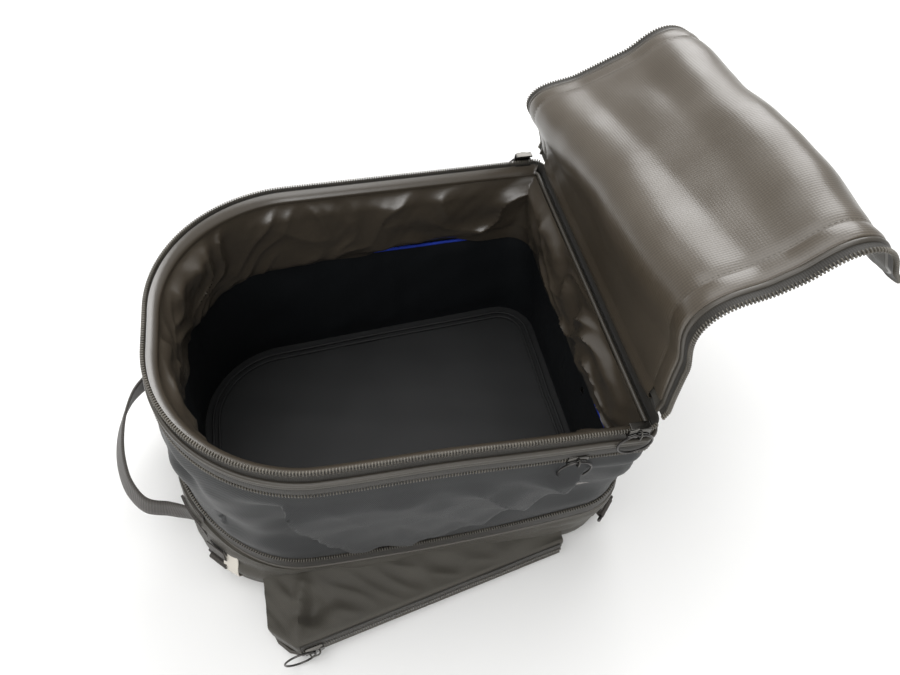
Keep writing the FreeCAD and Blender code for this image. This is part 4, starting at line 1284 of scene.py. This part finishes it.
for side, word in ((-1, "near"), (1, "far")):
    body = pocket_body(side)
    piece = ring_mesh("pocket_" + word, body, OUTER, closed=False)
    settle(piece, "bag", "outer_fabric", "pocket_" + word)
    run = POCKET_SHALLOW - POCKET_DEEP
    length = np.linalg.norm(run)
    steps = np.linspace(2.0, length - 3.0, 110)
    line = POCKET_DEEP + run / length * steps[:, None]
    away = np.array([run[1], -run[0]]) / length
    wave = 0.7 * ripples(steps, 0, 95, 80, 30)
    line = line + away * (0.2 + wave * 0.4)[:, None]
    path = np.concatenate([line, np.zeros((len(steps), 1))], -1)
    outward = np.array([away[0], away[1], 0.0])
    if side > 0:
        path[:, 1] *= -1
        outward = outward * np.array([1, -1, 1])
    up = np.array([0.0, 0.0, 1.0])
    strip = sweep("pocket_tape_" + word, path, outward, up, strip_profile(0.9, 1.0, 5.0, 23.0, 8, 0.5),
                  TAPE, closed=False)
    settle(strip, "bag", "zip_tape", "pocket_zip_" + word)
    made = []
    for turn in (-1, 1):
        middle = path + outward * 2.0 + up * (14.5 - turn * 1.2)
        made.append(row("teeth", "pocket_row", middle, up * turn, 2.0,
                        (2.8, 1.0, 1.7), COIL_WITH_PAINTED_SHINE, closed=False))
    settle(join("pocket_teeth_" + word, made), "bag", "zip_coil")
    for height in (8.4, 20.6):
        sewn = row("stitches", "pocket_stitches_%s_%d" % (word, height), path + outward * 1.55 + up * height,
                   unit_run(path), SEAM_PITCH, SEAM_STITCH, THREAD, closed=False)
        settle(sewn, "bag", "outer_fabric")
    start = np.array([[-122.0, -150.0], [-121.0, -160.0], [-117.0, -170.0], [-109.0, -178.5]])
    lower = np.concatenate([start, POCKET_DEEP + run / length * np.linspace(2, length - 1, 70)[:, None]])
    lower = np.concatenate([lower, np.full((len(lower), 1), 1.9)], -1)
    lower[:, 1] *= -side
    piece = tube("pocket_piping_" + word, lower, 1.7, PIPING, sides=12)
    settle(piece, "bag", "piping", "pocket_piping_" + word)


# ---------------------------------------------------------------- handle, straps and patches

def smooth_path(points, count):
    """Even points on a smooth curve through points."""
    points = np.asarray(points, float)
    t = np.concatenate([[0], np.cumsum(np.linalg.norm(np.diff(points, axis=0), axis=1))])
    wanted = np.linspace(0, t[-1], count)
    return np.stack([through(list(zip(t, points[:, axis])), wanted) for axis in range(3)], -1)


def front_wall(y, z, off):
    """Point on the front wall at y and z, and its outward normal."""
    places = np.linspace(3.0, 6.0, 1200)
    points, normals = lower_at(places, -off, np.full(places.shape, z))
    best = int(np.argmin(np.abs(points[:, 1] - y)))
    return points[best], normals[best]


def webbing_band(name, path, faces_to, width, thick, material):
    """Flat woven band along a path; faces_to is the direction that its face looks."""
    path = np.asarray(path, float)
    run = unit_run(path)
    face = np.broadcast_to(faces_to, path.shape)
    face = face - run * (face * run).sum(1, keepdims=True)
    face /= np.linalg.norm(face, axis=1, keepdims=True)
    across = np.cross(run, face)
    half, deep = width / 2, thick / 2
    profile = [(-deep * 0.4, -half), (deep * 0.4, -half), (deep, -half * 0.93),
               (deep * 0.8, -half * 0.5), (deep, 0.0),
               (deep * 0.8, half * 0.5), (deep, half * 0.93), (deep * 0.4, half), (-deep * 0.4, half),
               (-deep, half * 0.93), (-deep * 0.8, half * 0.5), (-deep, 0.0), (-deep * 0.8, -half * 0.5),
               (-deep, -half * 0.93)]
    return sweep(name, path, face, across, profile, material, closed=False)


bow = []
for angle in np.linspace(-1, 1, 9):
    y = -66.0 * np.sin(angle * pi / 2)
    bow.append((-184.6 - 38.4 * np.cos(angle * pi / 2) ** 0.8, y,
                62.5 + 12.0 * np.cos(angle * pi / 2)))
near_end = [tuple(front_wall(-86.0, 62.5, 1.8)[0]), tuple(front_wall(-76.0, 62.5, 2.2)[0])]
far_end = [tuple(front_wall(76.0, 62.5, 2.2)[0]), tuple(front_wall(86.0, 62.5, 1.8)[0])]
bow = bow[::-1] if bow[0][1] > 0 else bow
handle_path = smooth_path(near_end + bow + far_end, 120)
middle = np.array([-150.0, 0.0, 62.5])
faces = handle_path - middle
faces[:, 2] = 0
faces /= np.linalg.norm(faces, axis=1, keepdims=True)
share = np.linspace(0, 1, 120)
faces[:, 2] += 0.55 * np.sin(pi * share) ** 2
handle = webbing_band("carry_handle", handle_path, faces, 25.0, 2.2, WEBBING)
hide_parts("carry_handle")
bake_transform(handle)
patches = []
for side in (-1, 1):
    columns = []
    for y in np.linspace(62.0, 88.0, 14):
        point, normal = front_wall(side * y, 50.0, 0.0)
        columns.append((point, normal))
    grid = np.array([[p + n * 3.3 + np.array([0, 0, z - 50.0]) for p, n in columns]
                     for z in np.linspace(48.5, 76.5, 12)])
    patches.append(thick_grid("handle_patch", grid if side < 0 else grid[:, ::-1], 1.9, WEBBING))
settle(join("handle_patches", patches), "bag", "webbing", "handle_patches")
sewn = []
for side in (-1, 1):
    for square in (64.5, 85.5):
        p, n = front_wall(side * square, 62.0, 3.9)
        line = np.array([p + np.array([0, 0, z]) for z in np.linspace(-12, 13, 12)])
        sewn.append(row("stitches", "patch_seam", line, [0, 0, 1], 2.6, (1.9, 0.5, 0.5), THREAD,
                        closed=False))
    for z in (50.2, 74.8):
        line = np.array([front_wall(side * y, z, 3.9)[0] for y in np.linspace(64.5, 85.5, 12)])
        sewn.append(row("stitches", "patch_seam", line, unit_run(line), 2.6, (1.9, 0.5, 0.5), THREAD,
                        closed=False))
settle(join("handle_stitches", sewn), "bag", "webbing")

grid = []
for z in np.linspace(50.5, 79.0, 14):
    grid.append([front_wall(y, z, 1.4)[0] for y in np.linspace(-47.5, -14.5, 18)])
patch = thick_grid("reflective_patch", np.array(grid), 0.8, PATCH)
settle(patch, "bag", "reflective", "reflective_patch")
lines = []
for y in (-45.5, -16.5):
    line = np.array([front_wall(y, z, 1.6)[0] for z in np.linspace(52.0, 77.5, 12)])
    lines.append(row("stitches", "patch_line", line, [0, 0, 1], 2.4, (1.9, 0.4, 0.4), THREAD, closed=False))
settle(join("reflective_stitches", lines), "bag", "outer_fabric")
line = np.array([front_wall(y, 49.5, 1.5)[0] for y in np.linspace(-47.0, -15.0, 24)])
settle(tube("reflective_red_edge", line, 0.7, RED_THREAD, sides=8), "bag", "reflective")

strap = []
for z in np.linspace(86.0, 6.0, 24):
    point, normal = front_wall(-80.0 - (86 - z) * 0.08, z, 1.1)
    strap.append(point)
point, normal = front_wall(-80.0, 50.0, 0)
settle(webbing_band("side_strap", strap, normal, 20.0, 1.8, WEBBING), "bag", "webbing")
point, normal = front_wall(-107.0, 43.0, 1.2)
down = np.array([0.0, 0.0, -1.0])
tag_path = smooth_path([point + normal * 0.4 + down * -10, point + normal * 2.5,
                        point + normal * 7.0 + down * 12,
                        point + normal * 8.0 + down * 20, point + normal * 5.0 + down * 26], 40)
settle(webbing_band("hang_tag", tag_path, normal, 14.0, 1.0, PATCH), "bag", "reflective")


TAB_RING_OUT = 6.5
TAB_LOOP = 2.7
TAB_WIDTH = 18.0


def tie_tab(place):
    """Webbing tab that holds a tie-down ring at a base corner."""
    points, normals = lower_at(np.array([place]), 0.0, np.array([30.0]))
    centre, normal = points[0], normals[0]
    along = np.cross(normal, [0, 0, 1.0])
    ring_points = [centre + normal * (TAB_RING_OUT + TAB_LOOP * np.cos(a))
                   + np.array([0, 0, TAB_LOOP * np.sin(a)])
                   for a in np.linspace(2.6, -2.6, 16)]
    tail = [centre + normal * 2.9 + np.array([0, 0, 10.0]), centre + normal * 2.6 + np.array([0, 0, 24.0])]
    path = smooth_path([centre + normal * 3.8 + np.array([0, 0, 24.0]),
                        centre + normal * 5.4 + np.array([0, 0, 11.0])]
                       + ring_points[::3] + tail[:1] + [centre + normal * 1.2 + np.array([0, 0, 20.0])], 70)
    face = path - (centre + normal * TAB_RING_OUT)
    face = face - along * (face @ along)[:, None] + normal * 0.05
    face[:8] = normal
    return webbing_band("tie_tab", path, face, TAB_WIDTH, 1.0, WEBBING)


tabs = [tie_tab(place) for place in (1.5, 3.5, 5.5, 7.5)]
settle(join("tie_tabs", tabs), "bag", "webbing", "tie_tabs")


# ---------------------------------------------------------------- sliders

def placed_prism(outline, low, high, frame_axes, origin, bevel):
    """Plate with an outline along and across the zip, from low to high outwards, with rounded edges."""
    along, outward, across = frame_axes
    mesh = bpy.data.meshes.new("plate")
    work = bmesh.new()
    bottom = [work.verts.new((a, low, c)) for a, c in outline]
    top = [work.verts.new((a, high, c)) for a, c in outline]
    work.faces.new(bottom)
    work.faces.new(top[::-1])
    for i in range(len(outline)):
        k = (i + 1) % len(outline)
        work.faces.new((bottom[k], bottom[i], top[i], top[k]))
    bmesh.ops.bevel(work, geom=work.edges[:], offset=bevel, segments=2, profile=0.6, affect="EDGES")
    bmesh.ops.recalc_face_normals(work, faces=work.faces)
    for vert in work.verts:
        a, o, c = vert.co
        vert.co = (np.asarray(origin) + along * a + outward * o + across * c) * MM
    bmesh.ops.recalc_face_normals(work, faces=work.faces)
    work.to_mesh(mesh)
    work.free()
    mesh.materials.append(METAL)
    piece = bpy.data.objects.new("plate", mesh)
    bpy.context.scene.collection.objects.link(piece)
    return piece


SLIDER_PLATE = 1.5
SLIDER_GAP = 0.4
SLIDER_ENDS = (-7.2, 7.0)
BRIDGE_WIRE = 0.65


def slider_piece(name, body, origin, along, outward, room, bar_across):
    """Zip slider: two flanges round the coils, an outer plate and a wire bridge."""
    inner, outer, low, high = room
    along, outward = np.asarray(along, float), np.asarray(outward, float)
    along, outward = along / np.linalg.norm(along), outward / np.linalg.norm(outward)
    across = np.cross(along, outward)
    axes = (along, outward, across)
    bottom, top = low - SLIDER_GAP - SLIDER_PLATE, high + SLIDER_GAP
    middle, half = (bottom + top + SLIDER_PLATE) / 2, (top + SLIDER_PLATE - bottom) / 2
    plate_y = outer + SLIDER_GAP
    shape = [(-7.5, -half * 0.72), (-5.0, -half), (1.5, -half), (7.5, -half * 0.62), (7.5, half * 0.62),
             (1.5, half), (-5.0, half), (-7.5, half * 0.72)]
    plate = [(a, c + middle) for a, c in shape]
    parts = [placed_prism(plate, plate_y, plate_y + SLIDER_PLATE, axes, origin, 0.45)]
    back, front = SLIDER_ENDS
    for z in (bottom, top):
        bar = [(back, z), (front, z), (front, z + SLIDER_PLATE), (back, z + SLIDER_PLATE)]
        parts.append(placed_prism(bar, inner + SLIDER_GAP, plate_y + 0.8, axes, origin, 0.4))
    eye_z = (low + high) / 2
    foot = plate_y + 1.2
    span = across if bar_across else along
    centre = np.asarray(origin) + outward * foot + across * eye_z
    hoop = [centre + span * -3.8, centre + span * -3.8 + outward * 2.0, centre + span * -2.6 + outward * 3.1,
            centre + outward * 3.3, centre + span * 2.6 + outward * 3.1, centre + span * 3.8 + outward * 2.0,
            centre + span * 3.8]
    parts.append(tube("bridge", smooth_path(hoop, 30), BRIDGE_WIRE, METAL, sides=10))
    piece = join(name, parts)
    for polygon in piece.data.polygons:
        polygon.use_smooth = True
    return settle(piece, body, "dark_metal", name)


def rim_side(x, z, side):
    """Point on the rim's straight side, its run towards the front and its outward normal."""
    share = (x - RIM[0]) / (RIM[1] - RIM[0])
    y = RIM[2] + (RIM[3] - RIM[2]) * share
    run = np.array([RIM[0] - RIM[1], RIM[3] - RIM[2], 0.0])
    run /= np.linalg.norm(run)
    normal = np.array([-run[1], run[0], 0.0])
    normal = normal if normal[1] < 0 else -normal
    point = np.array([x, -y, z])
    if side > 0:
        flip = np.array([1, -1, 1])
        point, run, normal = point * flip, -run * flip, normal * flip
    return on_rim(point), rim_turned(run), rim_turned(normal)


for side, word in ((-1, "near"), (1, "far")):
    origin, run, normal = rim_side(153.5, 0.0, side)
    slider_piece("main_slider_" + word, "main_slider_" + word, origin, run, normal, (-4.6, 0.0, -3.0, 4.7),
                 True)
    run = (POCKET_DEEP - POCKET_SHALLOW) / np.linalg.norm(POCKET_DEEP - POCKET_SHALLOW)
    normal = np.array([-run[1], run[0], 0.0])
    origin = np.array([*(POCKET_DEEP - run * 12.0), 0.0])
    run = np.array([run[0], run[1], 0.0])
    if side > 0:
        flip = np.array([1, -1, 1])
        origin, run, normal = origin * flip, -run * flip, normal * flip
    slider_piece("pocket_slider_" + word, "pocket_slider_" + word, origin, run, normal,
                 (1.0, 3.2, 12.0, 17.0), False)
origin, run, normal = rim_side(118.0, -26.0, -1)
slider_piece("expansion_slider", "expansion_slider", origin, run, normal, (-4.6, 0.0, -6.4, 0.4), True)
LID_SLIDER = np.array([LID_COIL_X, -88.5, 6.5])


def rigid_lid(point, section):
    """Carry a point of the shut lid to its stiff section's place on the open lid."""
    moved = np.asarray(point, float)
    for index in range(section, 0, -1):
        pivot, axis, _ = fold_frame(index - 1)
        moved = turned(moved, pivot, axis, radians(FOLD_OPEN))
    return on_rim(turned(moved, HINGE_AT, Y_DIRECTION, radians(HINGE_OPEN)))


origin = rigid_lid(LID_SLIDER, 2)
run = rigid_lid(LID_SLIDER + np.array([0, 1.0, 0]), 2) - origin
normal = rigid_lid(LID_SLIDER + np.array([0, 0, 1.0]), 2) - origin
slider_piece("lid_slider", "lid_slider", origin, run, normal, (0.0, 2.2, -2.5, 2.5), True)


# ---------------------------------------------------------------- cloth sizes, worked out and not kept

def loop_size(level, inset):
    """Loop length, width, length and area in metres of what an outline encloses."""
    flat, _ = loop_at(level, inset, PLACES)
    ring = np.concatenate([flat, flat[:1]])
    around = np.linalg.norm(np.diff(ring, axis=0), axis=1).sum() * MM
    x, y = flat.T
    inside = abs((x * np.roll(y, -1) - y * np.roll(x, -1)).sum()) / 2 * MM * MM
    return around, np.ptp(x) * MM, np.ptp(y) * MM, inside


def lid_cut(section, inset):
    """Width, length and area in metres of a lid panel, flat."""
    x = lid_rows(section, inset)
    half = lid_half(x, inset)
    area = (np.abs(np.diff(x)) * (half[1:] + half[:-1])).sum() * MM * MM
    return 2 * half.max() * MM, abs(x[-1] - x[0]) * MM, area


loop_size(WAIST, 2.8)[0]
loop_size(WAIST, 9.0)[0]
_, floor_long, floor_wide, floor_area = loop_size(BASE, 3.5)
for index, sheet_piece in enumerate(lid_sheets):
    wide, long, area = lid_cut(index // 2, 8.5 if index % 2 else 20.0)


# ---------------------------------------------------------------- stage, light and camera

def stage_plane(name, size, z):
    mesh = bpy.data.meshes.new(name)
    mesh.from_pydata([(-size, -size, z), (size, -size, z), (size, size, z), (-size, size, z)], [],
                     [(0, 1, 2, 3)])
    plane = bpy.data.objects.new(name, mesh)
    bpy.context.scene.collection.objects.link(plane)
    material, tree, shader = blank("white_floor", 0.9)
    shader.inputs["Base Color"].default_value = (0.93, 0.93, 0.925, 1)
    mesh.materials.append(material)


stage_plane("studio_floor", 6.0, -0.0005)
world = bpy.data.worlds.new("studio")
bpy.context.scene.world = world
world.use_nodes = True
world.node_tree.nodes["Background"].inputs["Color"].default_value = (1.0, 0.995, 0.98, 1)
world.node_tree.nodes["Background"].inputs["Strength"].default_value = 0.5


def soft_light(name, place, look_at, size, power, colour=(1, 1, 1)):
    """Square soft light aimed at a point; places and size in metres."""
    light = bpy.data.lights.new(name, "AREA")
    light.size = size
    light.energy = power
    light.color = colour
    lamp = bpy.data.objects.new(name, light)
    lamp.location = place
    lamp.rotation_euler = (Vector(look_at) - Vector(place)).to_track_quat("-Z", "Y").to_euler()
    bpy.context.scene.collection.objects.link(lamp)


soft_light("back_window", (0.9, 1.5, 1.5), (0.1, 0.0, 0.15), 1.5, 30)
soft_light("top_panel", (-0.4, 0.1, 2.2), (0.0, 0.0, 0.1), 2.4, 34)
soft_light("near_fill", (-0.3, -1.9, 1.2), (0.0, 0.0, 0.1), 1.2, 12)

camera_data = bpy.data.cameras.new("camera")
camera_data.lens = 27.69
camera_data.sensor_width = 36.0
camera = bpy.data.objects.new("camera", camera_data)
bpy.context.scene.collection.objects.link(camera)
YAW, PITCH, ROLL = 0.246, 0.947, 0.034
forward = np.array([sin(YAW) * cos(PITCH), cos(YAW) * cos(PITCH), -sin(PITCH)])
right = np.array([cos(YAW), -sin(YAW), 0.0])
upward = np.cross(right, forward)
level_right = cos(ROLL) * right + sin(ROLL) * upward
level_up = -sin(ROLL) * right + cos(ROLL) * upward
turn = Matrix((level_right, level_up, -forward)).transposed()
camera.matrix_world = Matrix.Translation((-0.02246, -0.32018, 0.59926)) @ turn.to_4x4()
bpy.context.scene.camera = camera
bpy.context.scene.view_settings.view_transform = "Standard"
